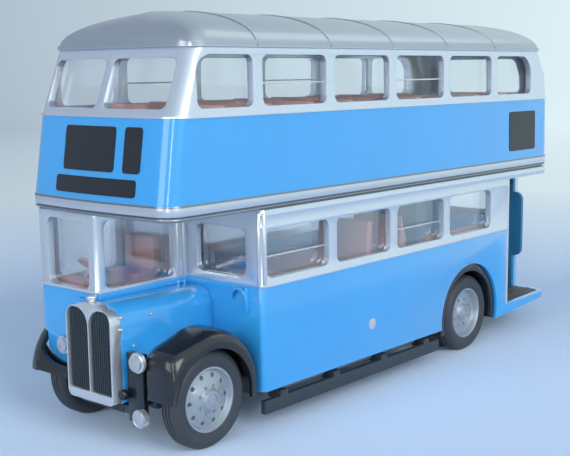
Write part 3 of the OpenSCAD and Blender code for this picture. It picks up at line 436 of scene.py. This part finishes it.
def moulded_plastic(name, colour, roughness, grain=0.3, coat=0.0):
    """Coloured plastic with a fine moulded skin."""
    finish = Finish(name)
    skin = finish.noise(grain * MM, 2.0)
    cloud = finish.noise(9 * MM)
    return finish.surface(
        base_color=finish.mix(cloud, shade(colour, 0.88), shade(colour, 1.12)),
        roughness=roughness + 0.1 * (skin - 0.5), coat_weight=coat, coat_roughness=0.08,
        normal=finish.bump(skin, 0.004 * MM, 0.25))


def clear_plastic(name, sheen):
    """Clear moulding: see-through, with a mirror sheen that grows at a slant."""
    finish = Finish(name)
    slant = finish.add("ShaderNodeLayerWeight", None, {"Blend": 0.5}, 1)
    ripple = finish.noise(3 * MM, 2.0)
    clear = finish.add("ShaderNodeBsdfTransparent", None, {"Color": (0.98, 0.987, 0.995, 1)})
    gloss = finish.add("ShaderNodeBsdfPrincipled", None,
                       {"Base Color": (0.9, 0.93, 0.96, 1), "Metallic": 1.0,
                        "Roughness": 0.05 + 0.04 * ripple, "Normal": finish.bump(ripple, 0.02 * MM, 0.3)})
    mirror = sheen + 0.5 * slant ** 4
    return finish.show(finish.add("ShaderNodeMixShader", None, {0: mirror, 1: clear, 2: gloss}))


def paper_sweep(name, colour, rightward):
    """Pale paper with painted light, lighter to the right, that keeps its colour to the eye and in mirrors
    further off.
    """
    finish = Finish(name)
    place = finish.object_place()
    fibre = finish.noise(2 * MM, 4.0)
    across = finish.add("ShaderNodeVectorMath", {"operation": "DOT_PRODUCT"}, {0: place, 1: rightward}, 1)
    far = finish.add("ShaderNodeVectorMath", {"operation": "LENGTH"}, {0: place}, 1)
    # Painted light: the tone grows lighter from left to right, for the far glow and for the near paper
    side = finish.steps(across, *SWEEP_SIDES)
    tone, near = (finish.mix(side, *(shade(colour, factor) for factor in factors))
                  for factors in (SWEEP_FAR, SWEEP_NEAR))
    paper = finish.add("ShaderNodeBsdfPrincipled", None,
                       {"Base Color": finish.mix(0.04 * fibre, near, (0.9, 0.92, 0.95)), "Roughness": 0.9,
                        "Specular IOR Level": 0.1})
    glow = finish.add("ShaderNodeEmission", None, {"Color": tone})
    seen = [finish.add("ShaderNodeLightPath", output=name)
            for name in ("Is Camera Ray", "Is Glossy Ray", "Is Transmission Ray")]
    beyond = finish.steps(far, *SWEEP_GLOW)
    return finish.show(finish.add("ShaderNodeMixShader", None,
                                  {0: beyond * (seen[0] + seen[1] + seen[2]), 1: paper, 2: glow}))


FINISHES = {}


def make_finishes(colours):
    """Makes the finish of every material slot."""
    black = tuple(colours.black_plastic)
    FINISHES.update({
        "body_blue": gloss_paint("body_blue", tuple(colours.body_blue)),
        "body_silver": satin_silver("body_silver", tuple(colours.body_silver)),
        "bright_silver": plated_metal("bright_silver", tuple(colours.plated)),
        "black_plastic": moulded_plastic("black_plastic", black, 0.2, 0.5, 0.35),
        "wheel_silver": plated_metal("wheel_silver", (0.40, 0.44, 0.48), 0.3, 0.5),
        "lamp_glass": plated_metal("lamp_glass", (0.52, 0.56, 0.62), 0.12, 0.4),
        "mesh_black": moulded_plastic("mesh_black", (0.03, 0.042, 0.055), 0.5),
        "sign_black": moulded_plastic("sign_black", shade(black, 1.4), 0.3, 0.8),
        "clear_glazing": clear_plastic("clear_glazing", 0.05),
        "lower_glass": clear_plastic("lower_glass", 0.21),
        "cab_glass": clear_plastic("cab_glass", 0.17),
        "rail_grey": plated_metal("rail_grey", (0.26, 0.29, 0.33), 0.4, 0.3),
        "seat_terracotta": moulded_plastic("seat_terracotta", tuple(colours.terracotta), 0.5),
        # Painted shade: the staircase takes the body blue darkened to about half
        "stair_blue": moulded_plastic("stair_blue", (0.03, 0.21, 0.40), 0.45),
        "floor_grey": moulded_plastic("floor_grey", (0.06, 0.065, 0.07), 0.65),
        "steel": plated_metal("steel", (0.5, 0.5, 0.51)),
        "tyre_black": moulded_plastic("tyre_black", tuple(colours.tyre), 0.55, 0.2),
    })


def box_of(piece):
    """Lowest and highest corners of a piece."""
    places = [vert.co for vert in piece.data.vertices]
    return [[pick_end(place[i] for place in places) for i in range(3)] for pick_end in (min, max)]


def pick(piece):
    """Leaves only this piece selected and active, in object mode."""
    if bpy.context.object and bpy.context.object.mode != "OBJECT":
        bpy.ops.object.mode_set(mode="OBJECT")
    bpy.ops.object.select_all(action="DESELECT")
    piece.select_set(True)
    bpy.context.view_layer.objects.active = piece


def edit(piece):
    pick(piece)
    bpy.ops.object.mode_set(mode="EDIT")
    bpy.ops.mesh.select_mode(type="FACE")
    bpy.ops.mesh.select_all(action="SELECT")


def leave():
    bpy.ops.object.mode_set(mode="OBJECT")


def select_faces(piece, wanted):
    """Selects the faces whose centre and normal pass a test, in edit mode."""
    mesh = bmesh.from_edit_mesh(piece.data)
    bpy.ops.mesh.select_all(action="DESELECT")
    for face in mesh.faces:
        if wanted(face.calc_center_median(), face.normal):
            face.select_set(True)
    mesh.select_flush_mode()
    bmesh.update_edit_mesh(piece.data)


def apply_modifier(piece, kind, **settings):
    pick(piece)
    modifier = piece.modifiers.new(kind.title(), kind)
    for name, value in settings.items():
        setattr(modifier, name, value)
    bpy.ops.object.modifier_apply(modifier=modifier.name)


def round_edges(piece, width, segments=2, angle=35.0):
    apply_modifier(piece, "BEVEL", width=width, segments=segments, limit_method="ANGLE",
                   angle_limit=math.radians(angle), miter_outer="MITER_ARC")


def finish_piece(piece, slot, body=BUS, replaces=(), smooth=SMOOTH, finish=None):
    """Shades a piece, gives it its slot's finish or another and hangs it on its body."""
    pick(piece)
    bpy.ops.object.shade_smooth_by_angle(angle=math.radians(smooth))
    piece.data.materials.clear()
    piece.data.materials.append(FINISHES[finish or slot])
    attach(piece, body)
    if replaces:
        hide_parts(*replaces)
    return piece


def node_copy(node, whole_faces=True):
    """A merged copy of a CAD node, with its flat faces made whole or left as triangles."""
    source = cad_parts[node]
    piece = bpy.data.objects.new(node + "_dressed", source.data.copy())
    bpy.context.scene.collection.objects.link(piece)
    edit(piece)
    bpy.ops.mesh.customdata_custom_splitnormals_clear()
    bpy.ops.mesh.remove_doubles(threshold=NODE_WELD)
    if whole_faces:
        bpy.ops.mesh.dissolve_limited(angle_limit=math.radians(0.6))
    leave()
    return piece


def dress(node, slot, edge=0.0, body=BUS, smooth=SMOOTH, finish=None):
    """Stands a rounded copy of a CAD node in its place."""
    piece = node_copy(node)
    if edge:
        round_edges(piece, edge)
    return finish_piece(piece, slot, body, (node,), smooth, finish)


def raise_strip(piece, axis, low, high, height, outside):
    """Cuts the skin of a piece at two planes and raises the strip between them as a bead."""
    edit(piece)
    for place in (low, high):
        bpy.ops.mesh.select_all(action="SELECT")
        bpy.ops.mesh.bisect(plane_co=axis * place, plane_no=axis)
    select_faces(piece, lambda centre, normal: low < centre.dot(axis) < high and outside(centre, normal))
    bpy.ops.mesh.extrude_region_shrink_fatten(TRANSFORM_OT_shrink_fatten={"value": height})
    leave()


def faces_out(centre, normal):
    """True for the skin that looks away from the long middle line of the model."""
    core = Vector((max(-CORE_X, min(CORE_X, centre.x)), 0, min(centre.z, CORE_Z)))
    return normal.dot((centre - core).normalized()) > 0.5


def faces_up(centre, normal):
    return normal.z > 0.9


def faces_front(centre, normal):
    return normal.x > 0.9


def named(name):
    """Names the primitive that was just added and puts its place into its mesh."""
    piece = bpy.context.object
    piece.name = name
    piece.data.name = name
    bpy.ops.object.transform_apply(location=True, rotation=True, scale=True)
    return piece


def block(name, low, high):
    """A block between two corners."""
    bpy.ops.object.select_all(action="DESELECT")
    low, high = Vector(low), Vector(high)
    bpy.ops.mesh.primitive_cube_add(size=1, location=(low + high) / 2, scale=high - low)
    return named(name)


def rod(name, centre, axis, radius, length, sides=24):
    """A round rod about a middle point, along the axis named."""
    bpy.ops.object.select_all(action="DESELECT")
    bpy.ops.mesh.primitive_cylinder_add(vertices=sides, radius=radius, depth=length, location=centre,
                                        rotation=ROD_TURN[axis])
    return named(name)


def spread(piece, places):
    """Moves a piece to the first of its places and joins copies of it at the others."""
    first, *others = places
    copies = []
    for place in others:
        copy = bpy.data.objects.new(piece.name, piece.data.copy())
        copy.data.transform(place)
        bpy.context.scene.collection.objects.link(copy)
        copies.append(copy)
    piece.data.transform(first)
    pick(piece)
    for copy in copies:
        copy.select_set(True)
    if copies:
        bpy.ops.object.join()
    edit(piece)
    bpy.ops.mesh.normals_make_consistent(inside=False)
    leave()
    return piece


def moves(points):
    return [Matrix.Translation(point) for point in points]


def both_sides(places):
    """The places, and the same places seen in the model's middle plane."""
    return [flip @ place for flip in (Matrix.Identity(4), MIRROR_Y) for place in places]


class BUS_OT_finishes(bpy.types.Operator):
    """Makes the paint, plastic, metal and glass of the model"""

    bl_idname = "bus.finishes"
    bl_label = "Finishes"

    def execute(self, context):
        make_finishes(context.scene.bus_colours)
        return {"FINISHED"}


def beaded(node, slot, place, width, edge, height):
    """Stands a copy of a casting in its place, with one bead or groove round it and its edges rounded."""
    piece = node_copy(node)
    raise_strip(piece, Z_AXIS, place - width / 2, place + width / 2, height, faces_out)
    round_edges(piece, edge)
    return finish_piece(piece, slot, BUS, (node,))


def pillar_lines(sizes):
    return [sizes.first_pillar - sizes.bay * i for i in range(PILLARS)]


def even_crown(piece):
    """Draws the two pointed ends of the roof's flat crown back to even ends."""
    crown = box_of(piece)[1][2] - CROWN_DEPTH
    for end in CROWN_ENDS:
        edit(piece)
        select_points(piece, lambda point: point.z > crown and point.x / end > 1)
        bpy.ops.transform.resize(value=(0, 1, 1), center_override=(end, 0, 0))
        bpy.ops.mesh.select_all(action="SELECT")
        bpy.ops.mesh.remove_doubles(threshold=CROWN_WELD)
        leave()


class BUS_OT_upper_casting(bpy.types.Operator):
    """Dresses the roof, the upper windows, the upper panels and the band round the deck"""

    bl_idname = "bus.upper_casting"
    bl_label = "Upper casting"

    def execute(self, context):
        sizes = context.scene.bus_sizes
        edge, height, width = sizes.casting_edge, sizes.bead_height, sizes.bead_width
        roof = node_copy("roof", whole_faces=False)
        even_crown(roof)
        for place in pillar_lines(sizes):
            raise_strip(roof, X_AXIS, place - 0.3 * width, place + 0.3 * width, 0.6 * height, faces_out)
        finish_piece(roof, "body_silver", BUS, ("roof",), SMOOTH_ROUND)
        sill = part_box("upper_window_band")[0].z + 0.5 * width
        beaded("upper_window_band", "body_silver", sill, 0.8 * width, edge, height)
        dress("upper_panels", "body_blue", smooth=SMOOTH_ROUND)
        middle, half = SHADED_GROOVES[CUT_GROOVE][:2]
        beaded("deck_band", "body_silver", middle, 2 * half, 0.3 * edge, -height)
        return {"FINISHED"}


class BUS_OT_lower_casting(bpy.types.Operator):
    """Dresses the lower windows, the lower panels and the bonnet"""

    bl_idname = "bus.lower_casting"
    bl_label = "Lower casting"

    def execute(self, context):
        sizes = context.scene.bus_sizes
        edge, height, width = sizes.casting_edge, sizes.bead_height, sizes.bead_width
        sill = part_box("lower_window_band")[0].z + 0.5 * width
        band = node_copy("lower_window_band")
        raise_strip(band, Z_AXIS, sill - 0.4 * width, sill + 0.4 * width, height, faces_out)
        for place in CORNICE_LINES:
            raise_strip(band, Z_AXIS, place - 0.3 * width, place + 0.3 * width, height,
                        lambda centre, normal: centre.x < sizes.first_pillar and faces_out(centre, normal))
        round_edges(band, edge)
        finish_piece(band, "body_silver", BUS, ("lower_window_band",))
        dress("lower_panels", "body_blue", edge)
        dress("bonnet", "body_blue", edge)
        return {"FINISHED"}


class BUS_OT_small_castings(bpy.types.Operator):
    """Adds the corner beads, the bonnet's pips, the bulkhead's handle and the cab pillar's ribs"""

    bl_idname = "bus.small_castings"
    bl_label = "Beads, pips, handle and ribs"

    def execute(self, context):
        pillar = X_AXIS * context.scene.bus_sizes.first_pillar
        bead = upright("corner_beads", CORNER_BEAD_ENDS, CORNER_BEAD_RADIUS, CORNER_BEAD_EDGE)
        spread(bead, moves([pillar + place for place in CORNER_BEADS]))
        finish_piece(bead, "body_silver", finish="bright_silver")
        pip = rod("bonnet_pips", (0, 0, 0), "Y", PIP_RADIUS, PIP_LENGTH, 16)
        round_edges(pip, FINE_EDGE)
        spread(pip, moves(PIPS))
        finish_piece(pip, "bright_silver")
        bulkhead_handle(pillar)
        for name, slot, finish, foot, top in CAB_RIBS:
            rib = upright(name, (foot, top), CAB_RIB_RADIUS, FINE_EDGE)
            spread(rib, moves(CAB_RIB_PLACES))
            finish_piece(rib, slot, finish=finish)
        return {"FINISHED"}


def upright(name, ends, radius, edge):
    """A rounded upright bead between two heights."""
    foot, top = ends
    bead = rod(name, (0, 0, (foot + top) / 2), "Z", radius, top - foot, 16)
    round_edges(bead, edge)
    return bead


def bulkhead_handle(pillar):
    """The step ring and its post on the front of the bulkhead, over the nearside wing."""
    centre = pillar + HANDLE_CENTRE
    bpy.ops.object.select_all(action="DESELECT")
    bpy.ops.mesh.primitive_circle_add(vertices=12, radius=HANDLE_WIRE,
                                      location=centre - Y_AXIS * HANDLE_RADIUS)
    ring = named("bulkhead_handle")
    edit(ring)
    bpy.ops.mesh.spin(steps=16, angle=math.pi, center=centre, axis=X_AXIS)
    leave()
    apply_modifier(ring, "SOLIDIFY", thickness=HANDLE_SKIN)
    post = block("bulkhead_post", *(pillar + corner for corner in POST_CORNERS))
    round_edges(post, FINE_EDGE)
    for piece in (ring, post):
        edit(piece)
        bpy.ops.mesh.normals_make_consistent(inside=False)
        leave()
        finish_piece(piece, "body_blue")


def select_points(piece, wanted):
    """Selects the points that pass a test, in edit mode."""
    bpy.ops.mesh.select_mode(type="VERT")
    mesh = bmesh.from_edit_mesh(piece.data)
    bpy.ops.mesh.select_all(action="DESELECT")
    for vert in mesh.verts:
        vert.select_set(wanted(vert.co))
    mesh.select_flush_mode()
    bmesh.update_edit_mesh(piece.data)


def widen_panels(piece):
    """Widens both mesh panels, or their holes in the shell, to leave a slim frame round them."""
    low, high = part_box("radiator_mesh")
    half_y, half_z = high.y / 2, (high.z - low.z) / 2
    middle_z = (low.z + high.z) / 2
    for side in (1, -1):
        def in_panel(point):
            y = side * point.y - half_y
            z = point.z - middle_z
            return abs(y) < half_y + RADIATOR_HOLE and abs(z) < half_z + RADIATOR_HOLE

        edit(piece)
        select_points(piece, in_panel)
        bpy.ops.transform.resize(value=(1, PANEL_GROWTH[0], PANEL_GROWTH[1]),
                                 center_override=(0, side * half_y, middle_z))
        bpy.ops.transform.translate(value=(0, side * PANEL_MOVE[0], PANEL_MOVE[1]))
        leave()


def wire_mesh(sizes):
    """Raises the upright and level wires of the radiator mesh from its panels."""
    piece = node_copy("radiator_mesh")
    widen_panels(piece)
    low, high = (Vector(corner) for corner in box_of(piece))
    pitch = sizes.mesh_pitch
    wire = WIRE_SHARE * pitch
    for axis, start, end, step, height in ((Y_AXIS, low.y, high.y, pitch, UPRIGHT_WIRE),
                                           (Z_AXIS, low.z, high.z, 2 * pitch, LEVEL_WIRE)):
        for i in range(1, int((end - start) / step)):
            place = start + i * step
            raise_strip(piece, axis, place - wire, place + wire, height, faces_front)
    return finish_piece(piece, "mesh_black", BUS, ("radiator_mesh",))


def lamp_rims(node):
    """Sinks the front of each lamp a little inside its rim and sets a domed lens in it."""
    piece = node_copy(node)
    lamps = lamp_fronts(piece)
    edit(piece)
    select_faces(piece, lambda centre, normal: normal.x > 0.75)
    bpy.ops.mesh.inset(thickness=RIM_WIDTH, depth=-RIM_DEPTH)
    leave()
    finish_piece(piece, "bright_silver", BUS, (node,), SMOOTH_CRISP)
    for i, (front, radius) in enumerate(lamps):
        lens = rod(f"{node}_lens_{i}", front, "X", LENS_SHARE * radius, LENS_LENGTH, 32)
        edit(lens)
        for share in LENS_STEPS:
            select_faces(lens, lambda centre, normal: normal.x > 0.95)
            bpy.ops.mesh.extrude_region_move(
                TRANSFORM_OT_translate={"value": (LENS_RISE * share, 0, 0)})
            bpy.ops.transform.resize(value=(1, share, share), center_override=front)
        leave()
        finish_piece(lens, "clear_glazing", BUS, (), SMOOTH_ROUND, "lamp_glass")


def lamp_fronts(piece):
    """Front point and radius of every lamp in a piece."""
    edit(piece)
    bpy.ops.mesh.select_all(action="DESELECT")
    mesh = bmesh.from_edit_mesh(piece.data)
    left = set(mesh.verts)
    lamps = []
    while left:
        island, edge = set(), [next(iter(left))]
        while edge:
            vert = edge.pop()
            if vert not in island:
                island.add(vert)
                edge += [link.other_vert(vert) for link in vert.link_edges]
        left -= island
        low, high = (Vector([end(vert.co[i] for vert in island) for i in range(3)]) for end in (min, max))
        middle = (low + high) / 2
        lamps.append((Vector((high.x, middle.y, middle.z)), (high.z - low.z) / 2))
    leave()
    return sorted(lamps, key=lambda lamp: lamp[0].y)


def front_fittings():
    """The knob beside the radiator and the plates that close the offside wing below the cab."""
    knob = rod("bonnet_knob", KNOB_PLACE, "X", KNOB_RADIUS, KNOB_LENGTH, 24)
    round_edges(knob, KNOB_EDGE, 4)
    finish_piece(knob, "black_plastic")
    front = X_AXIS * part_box("lower_panels")[1].x
    plate = block("wing_offside_plate", *(front + corner for corner in PLATE_CORNERS))
    cutter = rod("cab_edge_cutter", front + CAB_EDGE_CENTRE, "X", CAB_EDGE_RADIUS, CAB_EDGE_CUT, 96)
    apply_modifier(plate, "BOOLEAN", operation="DIFFERENCE", object=cutter, solver="EXACT")
    bpy.data.objects.remove(cutter)
    backing = block("wing_offside_backing", *(front + corner for corner in BACKING_CORNERS))
    for piece in (plate, backing):
        round_edges(piece, PLATE_EDGE)
        finish_piece(piece, "black_plastic")


class BUS_OT_front(bpy.types.Operator):
    """Dresses the radiator, the lamps and the front wings"""

    bl_idname = "bus.front"
    bl_label = "Radiator, lamps and wings"

    def execute(self, context):
        edge = context.scene.bus_sizes.casting_edge
        shell = node_copy("radiator_shell", whole_faces=False)
        widen_panels(shell)
        round_edges(shell, edge)
        finish_piece(shell, "bright_silver", BUS, ("radiator_shell",))
        wire_mesh(context.scene.bus_sizes)
        dress("radiator_cap", "bright_silver", edge)
        lamp_rims("headlamps")
        lamp_rims("fog_lamp")
        dress("lamp_bracket", "black_plastic", edge)
        dress("wing_nearside", "black_plastic", smooth=SMOOTH_WING)
        dress("wing_offside", "black_plastic", edge)
        front_fittings()
        return {"FINISHED"}


class BUS_OT_glazing(bpy.types.Operator):
    """Dresses the clear mouldings"""

    bl_idname = "bus.glazing"
    bl_label = "Glazing"

    def execute(self, context):
        for node, finish in (("upper_glazing", "clear_glazing"), ("lower_glazing", "lower_glass"),
                             ("cab_glazing", "cab_glass")):
            dress(node, "clear_glazing", smooth=SMOOTH_ROUND, finish=finish)
        window_bars(context.scene.bus_sizes)
        return {"FINISHED"}


def window_bars(sizes):
    """Bars across the half-drop windows of both decks, on both sides."""
    for name, node, height in (("upper_window_bars", "upper_glazing", sizes.upper_bar),
                               ("lower_window_bars", "lower_glazing", sizes.lower_bar)):
        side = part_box(node)[1].y
        half = (sizes.bay - BAR_ROOM) / 2
        bar = block(name, (-half, BAR_BACK, -BAR_HALF), (half, BAR_FRONT, BAR_HALF))
        round_edges(bar, CRISP_EDGE)
        middles = [sizes.first_pillar - (i + 0.5) * sizes.bay for i in OPENING_BAYS]
        spread(bar, both_sides(moves([(x, side, height) for x in middles])))
        finish_piece(bar, "bright_silver")


class BUS_OT_inside(bpy.types.Operator):
    """Dresses the seats, the cab, the stairs and the platform"""

    bl_idname = "bus.inside"
    bl_label = "Inside and platform"

    def execute(self, context):
        edge = context.scene.bus_sizes.moulding_edge
        for node in ("upper_seats", "cab_seat"):
            dress(node, "seat_terracotta", edge)
        lower_saloon_seats(context.scene.bus_sizes, edge)
        dress("steering_wheel", "black_plastic", finish="seat_terracotta")
        # Painted shade: the staircase's finish is the body blue darkened
        dress("staircase", "stair_blue", edge / 2)
        ribbed_platform(edge)
        dress("platform_pole", "bright_silver")
        return {"FINISHED"}


def lower_saloon_seats(sizes, edge):
    """Lowers the seat backs on the offside and in the first bay, and raises one row on the nearside."""
    piece = node_copy("lower_seats")
    second_bay = sizes.first_pillar - LOW_BAYS * sizes.bay
    tests = {"offside": lambda point: point.y < 0, "first_bay": lambda point: point.x > second_bay}
    for part, wanted in tests.items():
        low = LOW_BACK[part]
        edit(piece)
        select_points(piece, lambda point: point.z > low and wanted(point))
        bpy.ops.transform.resize(value=(1, 1, 0), center_override=(0, 0, low))
        bpy.ops.mesh.select_all(action="SELECT")
        bpy.ops.mesh.remove_doubles(threshold=SEAT_WELD)
        leave()
    top = box_of(piece)[1][2]
    front, rear = (sizes.first_pillar - bays * sizes.bay for bays in HIGH_BAYS)

    def on_high_back(point):
        return point.z > top - BACK_TOP and point.y > 0 and rear < point.x < front

    edit(piece)
    select_points(piece, on_high_back)
    bpy.ops.transform.translate(value=(0, 0, HIGH_BACK - top))
    leave()
    round_edges(piece, edge)
    finish_piece(piece, "seat_terracotta", BUS, ("lower_seats",))


def ribbed_platform(edge):
    """Raises the tread ribs of the platform."""
    piece = node_copy("platform_floor")
    low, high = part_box("platform_floor")
    for i in range(1, PLATFORM_SPACES):
        place = low.y + (high.y - low.y) * i / PLATFORM_SPACES
        raise_strip(piece, Y_AXIS, place - TREAD_HALF, place + TREAD_HALF, TREAD_HEIGHT,
                    lambda centre, normal: faces_up(centre, normal) and centre.z > high.z - TREAD_ZONE)
    round_edges(piece, edge / 4)
    finish_piece(piece, "floor_grey", BUS, ("platform_floor",))


class BUS_OT_signs(bpy.types.Operator):
    """Dresses the blank sign boxes and the fuel cap"""

    bl_idname = "bus.signs"
    bl_label = "Signs and fuel cap"

    def execute(self, context):
        dress("front_signs", "sign_black", smooth=SMOOTH_ROUND)
        dress("side_sign", "sign_black", smooth=SMOOTH_ROUND)
        dress("fuel_cap", "bright_silver", CRISP_EDGE)
        return {"FINISHED"}


class BUS_OT_base(bpy.types.Operator):
    """Dresses the base plate, its screws and the lifeguards"""

    bl_idname = "bus.base"
    bl_label = "Base"

    def execute(self, context):
        edge = context.scene.bus_sizes.casting_edge
        dress("base_plate", "black_plastic", edge)
        dress("base_screws", "steel", 0.08 * MM)
        dress("lifeguard_rails", "black_plastic", edge, finish="mesh_black")
        dress("lifeguard_slats", "bright_silver", edge, finish="rail_grey")
        return {"FINISHED"}


class BUS_OT_wheels(bpy.types.Operator):
    """Dresses the two axle sets"""

    bl_idname = "bus.wheels"
    bl_label = "Wheels"

    def execute(self, context):
        sizes = context.scene.bus_sizes
        for end, body, ring, sunk in WHEEL_SETS:
            dress(end + "_axle", "steel", AXLE_EDGE, body)
            dress(end + "_discs", "bright_silver", DISC_EDGE, body, finish="wheel_silver")
            treaded_tyres(end, body)
            wheel_nuts(sizes, end, body, ring, sunk)
        return {"FINISHED"}


def treaded_tyres(end, body):
    """Cuts grooves round the treads and raises a ring on the sidewalls."""
    node = end + "_tyres"
    piece = node_copy(node)
    low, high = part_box(node)
    hub = (low + high) / 2
    reach = (high.z - low.z) / 2

    def on_tread(centre, normal):
        out = math.hypot(centre.x - hub.x, centre.z - hub.z)
        return abs(normal.y) < TREAD_LOOK and out > TREAD_FROM * reach

    def on_sidewall(centre, normal):
        out = math.hypot(centre.x - hub.x, centre.z - hub.z)
        return abs(normal.y) > SIDEWALL_LOOK and out > SIDEWALL_FROM * reach

    outer = high.y
    firsts = [outer] if end == "front" else [outer, outer - TWIN_PITCH]
    for side in (1, -1):
        for first in firsts:
            for share in TYRE_GROOVES:
                place = side * (first - share * TYRE_WIDTH)
                raise_strip(piece, Y_AXIS, place - GROOVE_HALF, place + GROOVE_HALF, -GROOVE_DEPTH, on_tread)
    edit(piece)
    select_faces(piece, on_sidewall)
    bpy.ops.mesh.inset(thickness=SIDEWALL_INSET, depth=SIDEWALL_RISE)
    leave()
    finish_piece(piece, "tyre_black", body, (node,), SMOOTH_CRISP)


def wheel_nuts(sizes, end, body, ring, sunk):
    """A ring of six-sided nuts on each disc."""
    low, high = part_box(end + "_tyres")
    hub = (low + high) / 2
    face = high.y - sunk
    nut = rod(end + "_nuts", (0, 0, 0), "Y", NUT_RADIUS, NUT_LENGTH, 6)
    round_edges(nut, CRISP_EDGE)
    turns = [2 * math.pi * (i + 0.5) / sizes.nuts for i in range(sizes.nuts)]
    places = [(hub.x + ring * math.cos(turn), face, hub.z + ring * math.sin(turn)) for turn in turns]
    spread(nut, both_sides(moves(places)))
    finish_piece(nut, "bright_silver", body, finish="wheel_silver")


class BUS_OT_stage(bpy.types.Operator):
    """Sets up the paper sweep, the lamps and the camera"""

    bl_idname = "bus.stage"
    bl_label = "Stage"

    def execute(self, context):
        scene = context.scene
        paper_stage(scene.bus_colours, scene.bus_view)
        studio_lamps(scene)
        photo_camera(scene, scene.bus_view)
        scene.view_settings.view_transform = "Standard"
        return {"FINISHED"}


def paper_stage(colours, view):
    """A floor that sweeps up into a backdrop behind the model."""
    away = Vector((-math.sin(view.azimuth), math.cos(view.azimuth), 0))
    rightward = away.cross(Z_AXIS)
    bpy.ops.object.select_all(action="DESELECT")
    bpy.ops.mesh.primitive_plane_add(size=SWEEP_SIZE, rotation=(0, 0, math.atan2(away.y, away.x)))
    sweep = named("paper_sweep")
    edit(sweep)
    bpy.ops.mesh.select_mode(type="EDGE")
    mesh = bmesh.from_edit_mesh(sweep.data)
    for edge in mesh.edges:
        edge.select_set(all(vert.co.dot(away) > 0.4 * SWEEP_SIZE for vert in edge.verts))
    bmesh.update_edit_mesh(sweep.data)
    centre = away * SWEEP_SIZE / 2 + Z_AXIS * SWEEP_BEND
    bpy.ops.mesh.spin(steps=16, angle=math.pi / 2, center=centre, axis=rightward)
    bpy.ops.mesh.extrude_region_move(TRANSFORM_OT_translate={"value": Z_AXIS * SWEEP_SIZE})
    leave()
    pick(sweep)
    bpy.ops.object.shade_smooth()
    sweep.data.materials.append(paper_sweep("paper_sweep", tuple(colours.floor), rightward))


def studio_lamps(scene):
    """A soft key beside the camera, a fill, a narrow strip, a back lamp and a sky that darkens upward."""
    for name, place, target, wide, high, watts in LAMPS:
        light = bpy.data.lights.new(name, "AREA")
        light.shape = "RECTANGLE"
        light.size = wide
        light.size_y = high
        light.energy = watts
        lamp = bpy.data.objects.new(name, light)
        lamp.location = place
        lamp.rotation_euler = (Vector(target) - Vector(place)).to_track_quat("-Z", "Y").to_euler()
        scene.collection.objects.link(lamp)
    sky = Finish("studio_sky", sky=True)
    rise = sky.add("ShaderNodeSeparateXYZ", None, {0: sky.add("ShaderNodeTexCoord", output=0)}, 2)
    tone = sky.mix(sky.steps(rise, 0.0, SKY_RISE), SKY_LOW, SKY_HIGH)
    scene.world = sky.show(sky.add("ShaderNodeBackground", None, {"Color": tone}), "World")


def photo_camera(scene, view):
    """Stands the camera where the photo was taken from."""
    flat = math.cos(view.elevation)
    back = Vector((math.sin(view.azimuth) * flat, -math.cos(view.azimuth) * flat, math.sin(view.elevation)))
    level = Z_AXIS.cross(back).normalized()
    upright = back.cross(level)
    right = level * math.cos(view.roll) + upright * math.sin(view.roll)
    up = upright * math.cos(view.roll) - level * math.sin(view.roll)
    data = bpy.data.cameras.new("photo_camera")
    data.sensor_width = 36
    data.lens = view.lens
    data.shift_x, data.shift_y = view.shift
    data.clip_start = 1 * MM
    camera = bpy.data.objects.new("photo_camera", data)
    camera.matrix_world = Matrix.Translation(view.place) @ Matrix((right, up, back)).transposed().to_4x4()
    scene.collection.objects.link(camera)
    scene.camera = camera


class BUS_PT_model(bpy.types.Panel):
    """Lists the steps of the dressing"""

    bl_idname = "BUS_PT_model"
    bl_label = "Bus model"
    bl_space_type = "VIEW_3D"
    bl_region_type = "UI"
    bl_category = "Bus model"

    def draw(self, context):
        for operator in OPERATORS:
            self.layout.operator(operator.bl_idname)


GROUPS = (BusSizes, BusColours, PhotoView)
OPERATORS = (BUS_OT_finishes, BUS_OT_upper_casting, BUS_OT_lower_casting, BUS_OT_small_castings, BUS_OT_front,
             BUS_OT_glazing, BUS_OT_inside, BUS_OT_signs, BUS_OT_base, BUS_OT_wheels, BUS_OT_stage)


def register():
    for kind in (*GROUPS, *OPERATORS, BUS_PT_model):
        bpy.utils.register_class(kind)
    bpy.types.Scene.bus_sizes = bpy.props.PointerProperty(type=BusSizes)
    bpy.types.Scene.bus_colours = bpy.props.PointerProperty(type=BusColours)
    bpy.types.Scene.bus_view = bpy.props.PointerProperty(type=PhotoView)


def unregister():
    del bpy.types.Scene.bus_view
    del bpy.types.Scene.bus_colours
    del bpy.types.Scene.bus_sizes
    for kind in reversed((*GROUPS, *OPERATORS, BUS_PT_model)):
        bpy.utils.unregister_class(kind)


def main():
    register()
    for operator in OPERATORS:
        group, name = operator.bl_idname.split(".")
        getattr(getattr(bpy.ops, group), name)()


if __name__ == "__main__":
    main()
